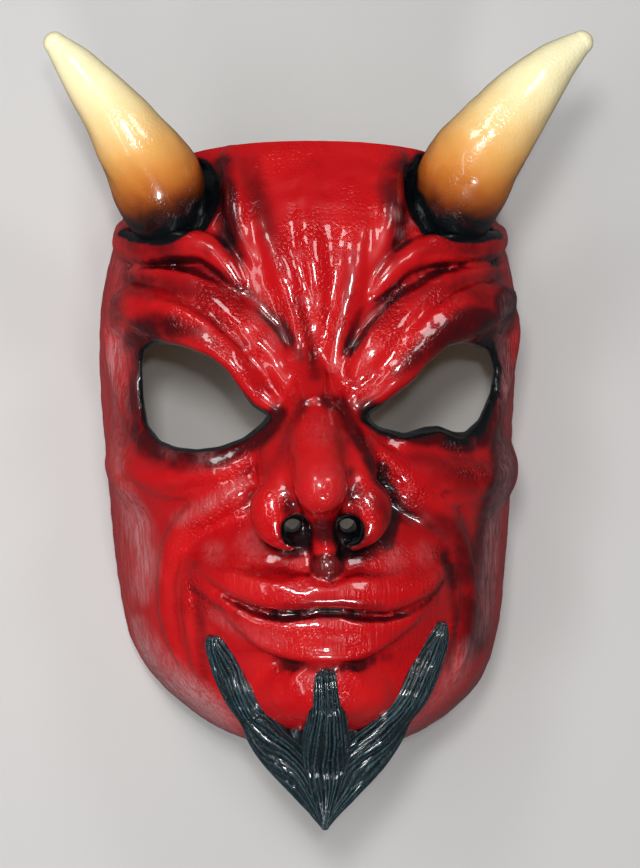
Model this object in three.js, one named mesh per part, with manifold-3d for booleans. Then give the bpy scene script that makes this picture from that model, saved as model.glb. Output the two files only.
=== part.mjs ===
// Krampus devil mask: a thin cast face shell with a moulded goatee, and two cast horns set in recesses.
// Frame in millimetres: +X to the viewer's right, +Y up the face toward the horns, +Z out of the face.
// The mask lies on its open rim, which is the plane Z = 0.
import * as THREE from 'three';
import { mergeVertices } from 'three/addons/utils/BufferGeometryUtils.js';
import Module from 'manifold-3d';

// Driving sizes
const WALL = 3.0;
const EYE_LINE_Y = 13.2;
const MIDLINE_X = -1.0;
const TOP_EDGE_Y = 84.5;
const TOP_SIDE_Y = 78.5;
const TOP_SLOPE_Z = [36, 76];
const CHIN_UNDERSIDE_Y = -129;
const NECK_HALF_WIDTH = 50;
const NECK_HEIGHT = 46;
const NECK_FROM_Y = -68;
const SKIRT = 6;
const FAN_ORIGIN_Y = -66;
const SECTION_POWER = 2.3;
const RECESS_GAP = 2.6;
const RECESS_DEPTH = 5.0;
const SEAT_GAP = 0.35;
const NOSTRIL_RADIUS = 2.6;

// Height on the face, half width of the shell and its depth there
const SHELL_SECTIONS = [
  [-150, 4, 20], [-134, 9, 34], [-129, 22, 50], [-124, 34, 62], [-118, 45, 74], [-110, 55, 84],
  [-102, 62, 90], [-92, 67, 94], [-80, 70, 96], [-65, 72, 96], [-45, 74, 94], [-25, 75.5, 92],
  [0, 77.5, 90], [20, 78, 91], [36, 77, 92], [50, 74, 90.5], [62, 70.5, 87], [75, 65.5, 81],
  [90, 58, 73], [112, 46, 60],
];
// Height and sideways shift: the jaw sits a little to the right
const SHELL_SHIFT = [[-150, 5.5], [-110, 4.5], [-90, 2.0], [-60, 1.0], [0, 0.4], [112, 0.8]];

// Small helpers
const clamp = (v, lo, hi) => Math.min(hi, Math.max(lo, v));
const mix = (a, b, t) => a + (b - a) * t;

function softMin(a, b, k) {
  const h = Math.max(k - Math.abs(a - b), 0) / k;
  return Math.min(a, b) - h * h * k * 0.25;
}

function softMax(a, b, k) {
  return -softMin(-a, -b, k);
}

function linearAt(table, y) {
  let i = 0;
  while (i < table.length - 2 && y > table[i + 1][0]) i += 1;
  const t = clamp((y - table[i][0]) / (table[i + 1][0] - table[i][0]), 0, 1);
  return mix(table[i][1], table[i + 1][1], t);
}

function smoothAt(table, column, y) {
  const last = table.length - 1;
  const yy = clamp(y, table[0][0], table[last][0] - 1e-6);
  let i = 0;
  while (i < last - 1 && yy >= table[i + 1][0]) i += 1;
  const slope = (j) => {
    const lo = Math.max(j - 1, 0);
    const hi = Math.min(j + 1, last);
    return (table[hi][column] - table[lo][column]) / (table[hi][0] - table[lo][0]);
  };
  const h = table[i + 1][0] - table[i][0];
  const t = (yy - table[i][0]) / h;
  const t2 = t * t;
  const t3 = t2 * t;
  return (2 * t3 - 3 * t2 + 1) * table[i][column] + (t3 - 2 * t2 + t) * h * slope(i)
    + (-2 * t3 + 3 * t2) * table[i + 1][column] + (t3 - t2) * h * slope(i + 1);
}

// A run of balls of changing size, joined to one soft roll
class Roll {
  constructor(stations, blend, steps = 6) {
    this.blend = blend;
    this.points = Roll.smooth(stations, steps);
    const reach = Math.max(...this.points.map((p) => p[3])) + blend + 1;
    this.low = [0, 1, 2].map((a) => Math.min(...this.points.map((p) => p[a])) - reach);
    this.high = [0, 1, 2].map((a) => Math.max(...this.points.map((p) => p[a])) + reach);
  }

  static smooth(s, steps) {
    if (s.length < 3) return s;
    const out = [];
    for (let i = 0; i < s.length - 1; i += 1) {
      const [a, b, c, d] = [s[Math.max(i - 1, 0)], s[i], s[i + 1], s[Math.min(i + 2, s.length - 1)]];
      for (let j = 0; j < steps; j += 1) {
        const t = j / steps;
        out.push(b.map((_, n) => 0.5 * (2 * b[n] + (c[n] - a[n]) * t
          + (2 * a[n] - 5 * b[n] + 4 * c[n] - d[n]) * t * t
          + (3 * b[n] - a[n] - 3 * c[n] + d[n]) * t * t * t)));
      }
    }
    out.push(s[s.length - 1]);
    return out;
  }

  near(p, margin = 0) {
    return [0, 1, 2].every((a) => p[a] >= this.low[a] - margin && p[a] <= this.high[a] + margin);
  }

  distance(p) {
    let best = Infinity;
    for (let i = 0; i < this.points.length - 1; i += 1) {
      const a = this.points[i];
      const b = this.points[i + 1];
      const ux = b[0] - a[0];
      const uy = b[1] - a[1];
      const uz = b[2] - a[2];
      const qx = p[0] - a[0];
      const qy = p[1] - a[1];
      const qz = p[2] - a[2];
      const length = Math.max(Math.hypot(ux, uy, uz), 1e-6);
      const along = (qx * ux + qy * uy + qz * uz) / length;
      const aside = Math.sqrt(Math.max(qx * qx + qy * qy + qz * qz - along * along, 0));
      const taper = clamp((a[3] - b[3]) / length, -0.95, 0.95);
      const t = clamp((along - (aside * taper) / Math.sqrt(1 - taper * taper)) / length, 0, 1);
      const d = Math.hypot(qx - t * ux, qy - t * uy, qz - t * uz) - mix(a[3], b[3], t);
      if (d < best) best = d;
    }
    return best;
  }
}

// A rounded mass: an ellipsoid, turned about the Z axis
class Mass {
  constructor(centre, radii, blend, turn = 0) {
    this.centre = centre;
    this.radii = radii;
    this.blend = blend;
    this.cos = Math.cos((turn * Math.PI) / 180);
    this.sin = Math.sin((turn * Math.PI) / 180);
    this.reach = Math.max(...radii) + blend + 1;
  }

  near(p) {
    return [0, 1, 2].every((a) => Math.abs(p[a] - this.centre[a]) <= this.reach);
  }

  distance(p) {
    const dx = p[0] - this.centre[0];
    const dy = p[1] - this.centre[1];
    const q = [
      (dx * this.cos + dy * this.sin) / this.radii[0],
      (dy * this.cos - dx * this.sin) / this.radii[1],
      (p[2] - this.centre[2]) / this.radii[2],
    ];
    const k0 = Math.hypot(...q) + 1e-9;
    const k1 = Math.hypot(q[0] / this.radii[0], q[1] / this.radii[1], q[2] / this.radii[2]) + 1e-9;
    return (k0 * (k0 - 1)) / k1;
  }
}

const bothSides = (make) => [-1, 1].map(make);

function added(d, p, items) {
  return items.reduce((v, item) => (item.near(p) ? softMin(v, item.distance(p), item.blend) : v), d);
}

function hollowed(d, p, items) {
  return items.reduce((v, item) => (item.near(p) ? softMax(v, -item.distance(p), item.blend) : v), d);
}

// The plain shell form: superellipse sections that shrink toward the jaw
function shellForm(p) {
  const width = smoothAt(SHELL_SECTIONS, 1, p[1]);
  const depth = smoothAt(SHELL_SECTIONS, 2, p[1]);
  const a = Math.abs(p[0] - linearAt(SHELL_SHIFT, p[1])) / width;
  const b = Math.max(p[2], 0) / depth;
  const s = a ** SECTION_POWER + b ** SECTION_POWER + 1e-9;
  const rho = s ** (1 / SECTION_POWER);
  const g = s ** (1 / SECTION_POWER - 1);
  const gx = (g * a ** (SECTION_POWER - 1)) / width;
  const gz = (g * b ** (SECTION_POWER - 1)) / depth;
  const dw = (smoothAt(SHELL_SECTIONS, 1, p[1] + 1) - smoothAt(SHELL_SECTIONS, 1, p[1] - 1)) / 2;
  const dd = (smoothAt(SHELL_SECTIONS, 2, p[1] + 1) - smoothAt(SHELL_SECTIONS, 2, p[1] - 1)) / 2;
  const taper = Math.max(Math.abs(dw), Math.abs(dd));
  return (rho - 1) / (Math.hypot(gx, gz) + 1e-6) / Math.sqrt(1 + taper * taper);
}

// Hollows: eye sockets, temples, cheeks and the dips beside the forehead
const hollows = bothSides((s) => [
  new Mass([s * 39, -2, 100], [23, 13, 17], 8, -s * 14),
  new Mass([s * 85, 0, 42], [11, 26, 26], 10),
  new Mass([s * 72, -60, 76], [12, 28, 16], 12),
  new Mass([s * 35, 62, 102], [13, 22, 14], 10, s * 10),
]).flat();

// Masses: muzzle, chin, cheekbones, brow shelf, nose ridge and nose sides
const masses = [
  new Mass([1, -65, 79], [42, 25, 28], 11),
  new Mass([3, -100, 80], [27, 14, 21], 9),
  new Roll([[-62, -25, 44, 10], [-58, -27, 58, 11], [-49, -27, 70, 11], [-38, -27, 78, 11], [-26, -27, 83, 10]], 9),
  new Roll([[63, -27, 44, 10], [59, -28, 58, 11], [50, -29, 70, 11], [38, -28, 78, 11], [26, -27, 83, 10]], 9),
  new Roll([[-60, 27, 60, 8], [-48, 25, 74, 9], [-34, 17, 82, 9], [-22, 6, 86, 9]], 9),
  new Roll([[61, 29, 60, 8], [49, 27, 74, 9], [35, 19, 82, 9], [22, 7, 86, 9]], 9),
  new Roll([[-1.8, -3, 95.5, 5.4], [-2, -9, 102, 6.6], [-1.8, -16, 108, 7.6], [-1.2, -22, 113.5, 8.6],
    [-0.6, -27.5, 118, 9.6], [-0.4, -29.5, 120, 9.6]], 6),
  ...bothSides((s) => new Roll([[s * 6, -6, 86, 8], [s * 8.5, -16, 91, 9.5], [s * 10, -27, 97, 10],
    [s * 10, -37, 101, 9]], 9)),
];

function underForm(p) {
  let d = hollowed(shellForm(p), p, hollows);
  d = added(d, p, masses);
  return softMax(d, CHIN_UNDERSIDE_Y - p[1], 8);
}

// First point of the form met on a straight way in from outside
function meet(field, origin, direction, from = 170) {
  const at = (t) => origin.map((o, a) => o + direction[a] * t);
  let far = from;
  let near = from;
  let value = field(at(near));
  while (value > 0 && near > 2) {
    far = near;
    near -= Math.max(value * 0.7, 0.08);
    value = field(at(near));
  }
  for (let i = 0; i < 12; i += 1) {
    const mid = (far + near) / 2;
    if (field(at(mid)) < 0) near = mid;
    else far = mid;
  }
  return at(near);
}

function outward(field, p) {
  const step = 0.5;
  const g = [0, 1, 2].map((a) => {
    const up = [...p];
    const down = [...p];
    up[a] += step;
    down[a] -= step;
    return field(up) - field(down);
  });
  const size = Math.hypot(...g) + 1e-9;
  return g.map((v) => v / size);
}

// A fold laid on the form: stations of x, y, half width, height, and z where it lies on the side
function fold(stations, blend) {
  const balls = stations.map(([x, y, w, h, z]) => {
    const side = Math.hypot(x, z ?? 0);
    const p = z === undefined
      ? meet(underForm, [x, y, 0], [0, 0, 1], 145)
      : meet(underForm, [0, y, 0], [x / side, 0, z / side], 145);
    const n = outward(underForm, p);
    const r = (w * w + h * h) / (2 * h);
    return [...p.map((v, a) => v - n[a] * (r - h)), r];
  });
  return new Roll(balls, blend);
}

const folds = [
  // rims below the horn recesses
  fold([[-72, 58, 2.4, 1.6, 30], [-69, 52, 3.6, 3.2, 45], [-62, 47.3, 4.2, 4], [-54, 44.2, 4.4, 4.4],
    [-44, 45.2, 4.4, 4.4], [-36, 44.5, 4.2, 4.2], [-30, 40, 3.6, 3], [-26, 35, 2, 1.4]], 1.6),
  fold([[19, 32, 2, 1.4], [23, 36, 3.5, 3], [28, 41, 4, 4], [35, 45.2, 4.3, 4.3], [46, 47, 4.4, 4.4],
    [57, 48.8, 4.2, 4], [66, 52.5, 3.8, 3.4, 52], [73, 58, 2.6, 2, 32]], 1.6),
  // upper frown folds
  fold([[-66, 41, 2, 1.4], [-59, 39.5, 3.4, 2.6], [-48, 37, 4.8, 3.8], [-38, 32, 6.4, 4.6],
    [-28.5, 25, 7.2, 5], [-19.5, 16.5, 7.2, 5.2], [-13, 8, 5.8, 4.8], [-9.5, 0.5, 4, 3]], 2),
  fold([[68, 43.5, 2, 1.4], [61, 41.5, 3, 2.4], [52, 38.8, 4, 3.2], [42, 34.5, 5.4, 4.2], [33, 27.5, 6.6, 4.8],
    [24, 18.5, 7, 5.2], [16.5, 9.8, 6.2, 5], [11, 1.5, 4.4, 3.4]], 2),
  // brows
  fold([[-67, 31, 3.6, 2.6], [-60, 28.4, 7.2, 5], [-50, 23.5, 8.6, 6], [-42, 18.8, 8.2, 6], [-34, 12.6, 7.2, 6],
    [-26.5, 5.6, 6, 5.6], [-19.5, -1, 5, 5], [-13.5, -6, 3.6, 3.4]], 2),
  fold([[68, 33, 3.6, 2.6], [61, 30.4, 7.2, 5], [51, 25.5, 8.6, 6], [43, 20.6, 8.2, 6], [35, 14.4, 7.2, 6],
    [27.5, 7, 6, 5.6], [20.5, 0.2, 5, 5], [14.5, -5, 3.6, 3.4]], 2),
  // outer turns of the brows
  fold([[-62, 32, 5, 3.6], [-67.5, 23, 5.4, 4, 46], [-68.5, 10, 5, 3.4, 48], [-65.5, -2, 4.4, 2.8],
    [-61.5, -12, 3.4, 1.8], [-57, -19, 2, 1.2]], 3),
  fold([[63, 33, 5, 3.6], [68.5, 24, 5.4, 4, 46], [69.5, 11, 5, 3.4, 48], [66.5, -1, 4.4, 2.8],
    [62.5, -11, 3.4, 1.8], [58, -18, 2, 1.2]], 3),
  // forehead folds
  fold([[-20, 66, 1.6, 0.5], [-18, 55, 3.6, 1.6], [-13, 43, 4, 2.2], [-9.5, 33, 4, 2.6], [-6.8, 24, 3.6, 2.8],
    [-5.2, 14, 3.4, 3.4], [-5, 4, 3, 3], [-4.6, -2, 1.6, 1.2]], 3),
  fold([[-1, 74, 1.6, 0.5], [-2.4, 62, 3.4, 1], [-2.4, 50, 4, 1.8], [-0.8, 39.7, 4, 2.2], [0.1, 29.8, 3, 1.8],
    [0, 22, 1.4, 1]], 3),
  fold([[18, 64, 1.6, 0.5], [14, 52, 3.6, 1.6], [13, 42, 4, 2.2], [11.5, 33, 4, 2.6], [8.4, 22, 3.6, 2.8],
    [6.4, 13, 3.4, 3.4], [6.2, 4, 3, 3], [6, -2, 1.6, 1.2]], 3),
  // folds on the inner side of each horn
  fold([[-28.5, 80, 2.6, 1.8], [-25.5, 72, 4.6, 3.8], [-23.8, 63, 5, 4.6], [-22.5, 54, 4.4, 4],
    [-20.5, 46, 3, 2], [-18, 40, 1.4, 0.8]], 2.5),
  fold([[28.5, 80, 2.6, 1.8], [25.8, 72, 4.6, 3.8], [24.8, 63, 5, 4.6], [23.6, 54, 4.4, 4], [21, 46, 3, 2],
    [18.5, 41, 1.4, 0.8]], 2.5),
  // cheek ridges
  fold([[-68, -24, 2, 1, 46], [-62, -27, 3.6, 2.4], [-54, -29.3, 4.4, 3], [-46.7, -28.8, 4.6, 3],
    [-38, -27.2, 4.4, 2.8], [-29, -26.2, 4, 2.4], [-22, -21.5, 2.6, 1.6]], 3),
  fold([[70, -26, 2, 1, 46], [64, -29, 3.6, 2.4], [56, -30.3, 4.4, 3], [47.7, -29.8, 4.6, 3], [38, -28, 4.4, 2.8],
    [29, -26.6, 4, 2.4], [22, -21.5, 2.6, 1.6]], 3),
  // folds from the nose round the mouth
  fold([[-21, -31, 2.4, 1.6], [-28, -35, 4.6, 3.8], [-36, -40, 5.6, 4.6], [-43, -46.5, 5.8, 4.4],
    [-48, -55, 5.6, 3.8], [-50, -66, 5, 3], [-49.5, -78, 4.2, 2.2], [-46, -90, 2.2, 1]], 2.5),
  fold([[22, -30, 2.4, 1.6], [30, -35, 4.6, 3.8], [38, -41, 5.6, 4.6], [45, -48, 5.8, 4.4], [49.5, -57, 5.6, 3.8],
    [52, -68, 5, 3], [52.5, -81, 4.2, 2.2], [50, -93, 2.2, 1]], 2.5),
  // crease beside the goatee
  fold([[-43.5, -63, 1.6, 0.8], [-42.6, -70, 3, 2], [-41.5, -79, 3, 2.2], [-40.5, -89, 2.4, 1.4],
    [-39, -95, 1.4, 0.6]], 2),
  // chin pad
  fold([[-12, -99, 4, 1.6], [-4, -97, 6, 2.8], [3, -96.4, 7, 3], [11, -97.4, 6, 2.8], [19, -100, 4, 1.6]], 4),
  // lower lids
  fold([[-61.5, 4, 1.6, 1], [-60, -6, 1.8, 1.4], [-57.5, -14, 2.2, 1.8], [-52, -20, 2.4, 2],
    [-45, -22.8, 2.6, 2.2], [-38, -23.4, 2.6, 2.2], [-30, -21.6, 2.6, 2.2], [-23, -18, 2.4, 2],
    [-16, -12.4, 1.8, 1.4]], 1.6),
  fold([[17, -12.6, 1.8, 1.4], [22, -15.8, 2.4, 2], [29, -18, 2.6, 2.2], [36.6, -16.4, 2.6, 2.2],
    [42, -16, 2.6, 2.2], [49, -18.2, 2.6, 2.2], [55, -15, 2.4, 2], [59.5, -8, 2, 1.6], [62, 1, 1.6, 1.2]], 1.6),
  // upper and lower lip
  fold([[-45.5, -56.4, 1.2, 0.8], [-37.5, -59.8, 4, 3.4], [-28, -62.8, 5.4, 4.6], [-18.5, -65.4, 6, 5.2],
    [-8.5, -66.2, 6, 5.4], [1.5, -66.8, 5.4, 4.8], [11.5, -66.4, 6, 5.4], [20.5, -66.8, 6, 5.2],
    [30, -65.4, 5.4, 4.6], [38, -63.2, 4, 3.4], [45.5, -59.8, 1.2, 0.8]], 3.4),
  fold([[-39, -63.6, 1.2, 0.8], [-29, -70.4, 3.2, 3], [-19, -76.4, 4.8, 4.4], [-9, -79.2, 6.2, 5.4],
    [1, -79.8, 6.8, 5.6], [11, -79.4, 6.4, 5.4], [20, -78.2, 5, 4.4], [29, -75, 3.4, 3],
    [39, -68, 1.2, 0.8]], 2.2),
];

// Wings of the nose, the bridge between the nostrils and the bead below it
const noseTrim = [
  ...bothSides((s) => new Roll([[s * 12 + 0.6, -30.5, 106, 4.6], [s * 15.2 + 0.6, -37.5, 106.5, 7.4],
    [s * 14.6 + 0.6, -43, 106, 7], [s * 11 + 0.6, -47.5, 106.6, 4.8]], 2.2)),
  new Roll([[0.3, -37, 116, 6], [0.8, -44, 113, 4.8], [1.2, -52, 108.6, 4.4]], 3),
  new Mass([1.7, -57, 107.6], [5, 5, 5], 1.6),
];
const nostrilBowls = bothSides((s) => new Mass([s * 9 + 0.6, -46.5, 110], [4.2, 4.6, 9], 1.6));

// Line where the lips meet
const MOUTH_LINE = [
  [-44.5, -56.9], [-36.7, -62.4], [-29.3, -67.7], [-20.2, -71.9], [-11.5, -73.6], [-5.4, -72.6], [1.1, -71.8],
  [7.9, -72], [14, -73.4], [22.1, -74], [29.6, -72.5], [35.8, -69.4], [40, -65.6], [44.5, -60.4],
];
const MOUTH_DEPTH = 2.2;
const MOUTH_SPREAD = 1.5;

function mouthGroove(p) {
  if (p[1] > -50 || p[1] < -80 || p[2] < 60) return 0;
  let best = Infinity;
  for (let i = 0; i < MOUTH_LINE.length - 1; i += 1) {
    const [ax, ay] = MOUTH_LINE[i];
    const ux = MOUTH_LINE[i + 1][0] - ax;
    const uy = MOUTH_LINE[i + 1][1] - ay;
    const t = clamp(((p[0] - ax) * ux + (p[1] - ay) * uy) / (ux * ux + uy * uy), 0, 1);
    best = Math.min(best, Math.hypot(p[0] - ax - t * ux, p[1] - ay - t * uy));
  }
  return MOUTH_DEPTH * Math.exp(-((best / MOUTH_SPREAD) ** 2));
}

// Three prongs of the goatee, laid on the chin
const goateeProngs = [
  fold([[-35, -79.4, 1, 2], [-33.4, -85, 3, 3.2], [-29.8, -94, 4.8, 4.2], [-24.6, -103, 6.6, 4.8],
    [-18, -110, 8, 5], [-11, -115, 9, 5]], 1.6),
  fold([[41.2, -76.8, 1, 2], [39.4, -83, 3, 3.2], [35.8, -93, 4.8, 4.2], [31, -102, 6.6, 4.8],
    [24.6, -109.4, 8, 5], [16, -115, 9, 5]], 1.6),
  fold([[2.3, -93, 1.2, 2], [2.6, -98, 3.8, 3.6], [3, -105, 5.8, 5], [3.2, -111, 8, 5.6]], 1.6),
];
// Goatee below the jaw: height, middle x, half width, middle z and half depth
const GOATEE_SECTIONS = [
  [-107, 3, 22, 83, 8], [-113, 3, 25.5, 81.5, 8], [-119, 3.2, 22.5, 81.5, 7.6], [-125, 3.2, 17, 83, 7],
  [-131, 3, 11.6, 85, 6], [-137, 2.7, 7, 87, 4.6], [-142.5, 2.7, 3.4, 89, 2.8], [-146.4, 2.8, 0.9, 90, 0.9],
];

// Horn centre lines and radii; the right horn is the fuller of the two
const HORN_LINES = [
  [[-49, 59.5, 58, 16.5], [-50.5, 63, 68, 17], [-53, 69.5, 76, 16.6], [-57, 76.7, 81.5, 14.9],
    [-61.6, 83.2, 85, 13.1], [-67.3, 91.3, 87, 10.9], [-77.9, 104.7, 88, 7.6], [-83.2, 110.8, 88, 5.4],
    [-86.2, 114, 88, 4]],
  [[46.5, 59, 58, 16.2], [48, 62.5, 68, 16.8], [50, 70, 76, 16.8], [53.6, 77.4, 81.5, 16],
    [59.4, 85.2, 85, 14.3], [66.4, 94.3, 87, 12.3], [72.4, 101.2, 88, 10.4], [79.1, 108.4, 88, 8],
    [85.3, 113.6, 88, 5.5], [88.4, 115.9, 88, 4.2]],
];
const hornRolls = HORN_LINES.map((line) => new Roll(line, 1));

// Recess dug round each horn root
function recess(p, form) {
  const d = Math.min(...hornRolls.map((horn) => (horn.near(p, 6) ? horn.distance(p) : 1000)));
  return softMax(d - RECESS_GAP, -(form + RECESS_DEPTH), 2.5);
}

function faceForm(p) {
  const form = underForm(p);
  let d = added(form, p, folds);
  d += mouthGroove(p);
  d = added(d, p, noseTrim);
  d = added(d, p, goateeProngs);
  d = softMax(d, -recess(p, form), 2);
  return hollowed(d, p, nostrilBowls);
}

function cavityForm(p) {
  const form = underForm(p);
  return softMax(form + WALL, WALL - recess(p, form), 3);
}

// Spokes from the middle of the open back: rows up the face, then a fan under the chin.
// The steps are finer over the nose and mouth.
const FRONT_HALF = 62;
const NOMINAL_WIDTH = 76;
const NOMINAL_DEPTH = 92;

function steppedTo(stops, start) {
  const out = [start];
  let from = start;
  for (const [to, step] of stops) {
    const count = Math.max(1, Math.round(Math.abs(to - from) / step));
    for (let i = 1; i <= count; i += 1) out.push(mix(from, to, i / count));
    from = to;
  }
  return out;
}

function spokeColumns(fineStep, step, sideSteps) {
  const across = (v, size, other) => other * (1 - (Math.abs(v) / size) ** SECTION_POWER) ** (1 / SECTION_POWER);
  const half = steppedTo([[23, fineStep], [FRONT_HALF, step]], 0);
  const front = [...half.slice(1).toReversed().map((x) => -x), ...half];
  const edge = across(FRONT_HALF, NOMINAL_WIDTH, NOMINAL_DEPTH);
  const side = Array.from({ length: sideSteps }, (_, i) => (edge * i) / sideSteps);
  const points = [
    ...side.map((z) => [-across(z, NOMINAL_DEPTH, NOMINAL_WIDTH), z]),
    ...front.map((x) => [x, across(x, NOMINAL_WIDTH, NOMINAL_DEPTH)]),
    ...side.toReversed().map((z) => [across(z, NOMINAL_DEPTH, NOMINAL_WIDTH), z]),
  ];
  return points.map(([x, z]) => [x / Math.hypot(x, z), z / Math.hypot(x, z)]);
}

function spokeRows(top, scale) {
  const heights = steppedTo([[60, 5.4 * scale], [-28, 3.7 * scale], [FAN_ORIGIN_Y, 2.6 * scale]], top);
  const tilts = steppedTo([[26, 1.9 * scale], [62, 3.6 * scale], [88, 9]], 0).slice(1);
  return [...heights.map((y) => [y, 0]), ...tilts.map((tilt) => [FAN_ORIGIN_Y, tilt])];
}

// A closed half round solid whose curved side is the met surface and whose flat back is below Z = 0
function spokeSolid(field, columns, rows) {
  const vertices = [];
  const faces = [];
  const rings = rows.map(([y, tilt]) => {
    const c = Math.cos((tilt * Math.PI) / 180);
    const s = Math.sin((tilt * Math.PI) / 180);
    const met = columns.map(([x, z]) => meet(field, [0, y, 0], [x * c, -s, z * c]));
    const first = met[0];
    const last = met[met.length - 1];
    const ring = [[first[0], first[1], -SKIRT], ...met, [last[0], last[1], -SKIRT], [0, (first[1] + last[1]) / 2, -SKIRT]];
    return ring.map((p) => vertices.push(p) - 1);
  });
  const n = rings[0].length;
  for (let i = 0; i < rings.length - 1; i += 1) {
    for (let j = 0; j < n; j += 1) {
      const [a, b] = [rings[i][j], rings[i][(j + 1) % n]];
      const [c, d] = [rings[i + 1][j], rings[i + 1][(j + 1) % n]];
      faces.push([a, c, b], [b, c, d]);
    }
  }
  const close = (ring, flip) => {
    const hub = ring[n - 1];
    for (let j = 0; j < n - 2; j += 1) faces.push(flip ? [hub, ring[j + 1], ring[j]] : [hub, ring[j], ring[j + 1]]);
  };
  close(rings[0], false);
  close(rings[rings.length - 1], true);
  return { vertices, faces };
}

// A closed loft through rings of points, with pointed or flat ends
function loft(rings) {
  const vertices = rings.flat();
  const faces = [];
  const n = rings[0].length;
  for (let i = 0; i < rings.length - 1; i += 1) {
    for (let j = 0; j < n; j += 1) {
      const k = (j + 1) % n;
      const [a, b] = [i * n + j, i * n + k];
      faces.push([a, b, a + n], [b, b + n, a + n]);
    }
  }
  for (let j = 1; j < n - 1; j += 1) {
    const end = (rings.length - 1) * n;
    faces.push([0, j + 1, j], [end, end + j, end + j + 1]);
  }
  return { vertices, faces };
}

function ringRound(centre, along, radius, sides) {
  const w = new THREE.Vector3(...along).normalize();
  const u = new THREE.Vector3(0, 0, 1).cross(w).normalize();
  const v = new THREE.Vector3().crossVectors(w, u);
  return Array.from({ length: sides }, (_, j) => {
    const t = (2 * Math.PI * j) / sides;
    return new THREE.Vector3(...centre).addScaledVector(u, radius * Math.cos(t))
      .addScaledVector(v, radius * Math.sin(t)).toArray();
  });
}

const HORN_SIDES = 16;
const TIP_ROUNDING = [[0.5, 0.87], [0.87, 0.5], [0.985, 0.17]];

function hornBody(line) {
  const points = Roll.smooth(line, 2);
  const rings = points.map((p, i) => {
    const a = points[Math.max(i - 1, 0)];
    const b = points[Math.min(i + 1, points.length - 1)];
    return ringRound(p.slice(0, 3), [0, 1, 2].map((n) => b[n] - a[n]), p[3], HORN_SIDES);
  });
  const end = points[points.length - 1];
  const before = points[points.length - 2];
  const way = new THREE.Vector3(...[0, 1, 2].map((n) => end[n] - before[n])).normalize();
  for (const [out, size] of TIP_ROUNDING) {
    const c = new THREE.Vector3(...end.slice(0, 3)).addScaledVector(way, out * end[3]).toArray();
    rings.push(ringRound(c, way.toArray(), size * end[3], HORN_SIDES));
  }
  return loft(rings);
}

function goateeBody(sides = 16) {
  const rings = GOATEE_SECTIONS.map(([y, x, halfWidth, z, halfDepth]) => Array.from({ length: sides }, (_, j) => {
    const t = (2 * Math.PI * j) / sides;
    return [x + halfWidth * Math.cos(t), y, z + halfDepth * Math.sin(t)];
  }));
  return loft(rings);
}

// Outlines of the two eye holes
const EYE_OUTLINES = [
  [[-59, 9.5], [-58.6, -2], [-57, -11.5], [-52.4, -16.9], [-46.7, -19.1], [-39.6, -19.8], [-32, -18.8],
    [-24.4, -16], [-19.3, -12], [-16.2, -8.8], [-21.3, -5.4], [-24.3, -1.4], [-29.5, 6.2], [-35.5, 10.9],
    [-44.6, 14.6], [-53.4, 16.4], [-58, 14]],
  [[17, -9], [21, -12.3], [29.6, -14.4], [36.8, -12.2], [41.6, -11.8], [47.6, -14], [51.6, -14], [57.4, -9.6],
    [62.4, 0], [64, 8], [61, 14.4], [51.4, 16.4], [44.4, 14.8], [38.4, 10.1], [35.7, 7], [33.6, 3.3],
    [28.6, -0.4], [22.2, -5.3]],
];

const wasm = await Module();
wasm.setup();

function solidOf(vertices, faces) {
  let volume = 0;
  for (const [a, b, c] of faces) {
    const [p, q, r] = [vertices[a], vertices[b], vertices[c]];
    volume += p[0] * (q[1] * r[2] - q[2] * r[1]) + p[1] * (q[2] * r[0] - q[0] * r[2])
      + p[2] * (q[0] * r[1] - q[1] * r[0]);
  }
  const ordered = volume < 0 ? faces.map(([a, b, c]) => [a, c, b]) : faces;
  return new wasm.Manifold(new wasm.Mesh({
    numProp: 3,
    vertProperties: new Float32Array(vertices.flat()),
    triVerts: new Uint32Array(ordered.flat()),
  }));
}

function solidOfGeometry(geometry) {
  const plain = geometry.index ? geometry.clone() : geometry;
  plain.deleteAttribute('normal');
  plain.deleteAttribute('uv');
  const merged = mergeVertices(plain, 1e-4);
  const vertices = [];
  const position = merged.getAttribute('position');
  for (let i = 0; i < position.count; i += 1) vertices.push([position.getX(i), position.getY(i), position.getZ(i)]);
  const faces = [];
  for (let i = 0; i < merged.index.count; i += 3) {
    faces.push([merged.index.getX(i), merged.index.getX(i + 1), merged.index.getX(i + 2)]);
  }
  return solidOf(vertices, faces);
}

function geometryOf(solid) {
  const mesh = solid.getMesh();
  const positions = [];
  for (let i = 0; i < mesh.vertProperties.length; i += mesh.numProp) {
    positions.push(mesh.vertProperties[i] + MIDLINE_X, mesh.vertProperties[i + 1] + EYE_LINE_Y, mesh.vertProperties[i + 2]);
  }
  const geometry = new THREE.BufferGeometry();
  geometry.setAttribute('position', new THREE.Float32BufferAttribute(positions, 3));
  geometry.setIndex(Array.from(mesh.triVerts));
  geometry.computeVertexNormals();
  return geometry;
}

// Prism through the face along Z
function eyePrism(outline) {
  const shape = new THREE.Shape(outline.map(([x, y]) => new THREE.Vector2(x, y)));
  const geometry = new THREE.ExtrudeGeometry(shape, { depth: 120, bevelEnabled: false, steps: 1 });
  geometry.translate(0, 0, 20);
  return solidOfGeometry(geometry);
}

function nostrilBore(side) {
  const geometry = new THREE.CylinderGeometry(NOSTRIL_RADIUS, NOSTRIL_RADIUS, 44, 10);
  geometry.rotateX(Math.PI / 2 - 0.22);
  geometry.translate(side * 9 + 0.6, -44.5, 100);
  return solidOfGeometry(geometry);
}

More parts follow.
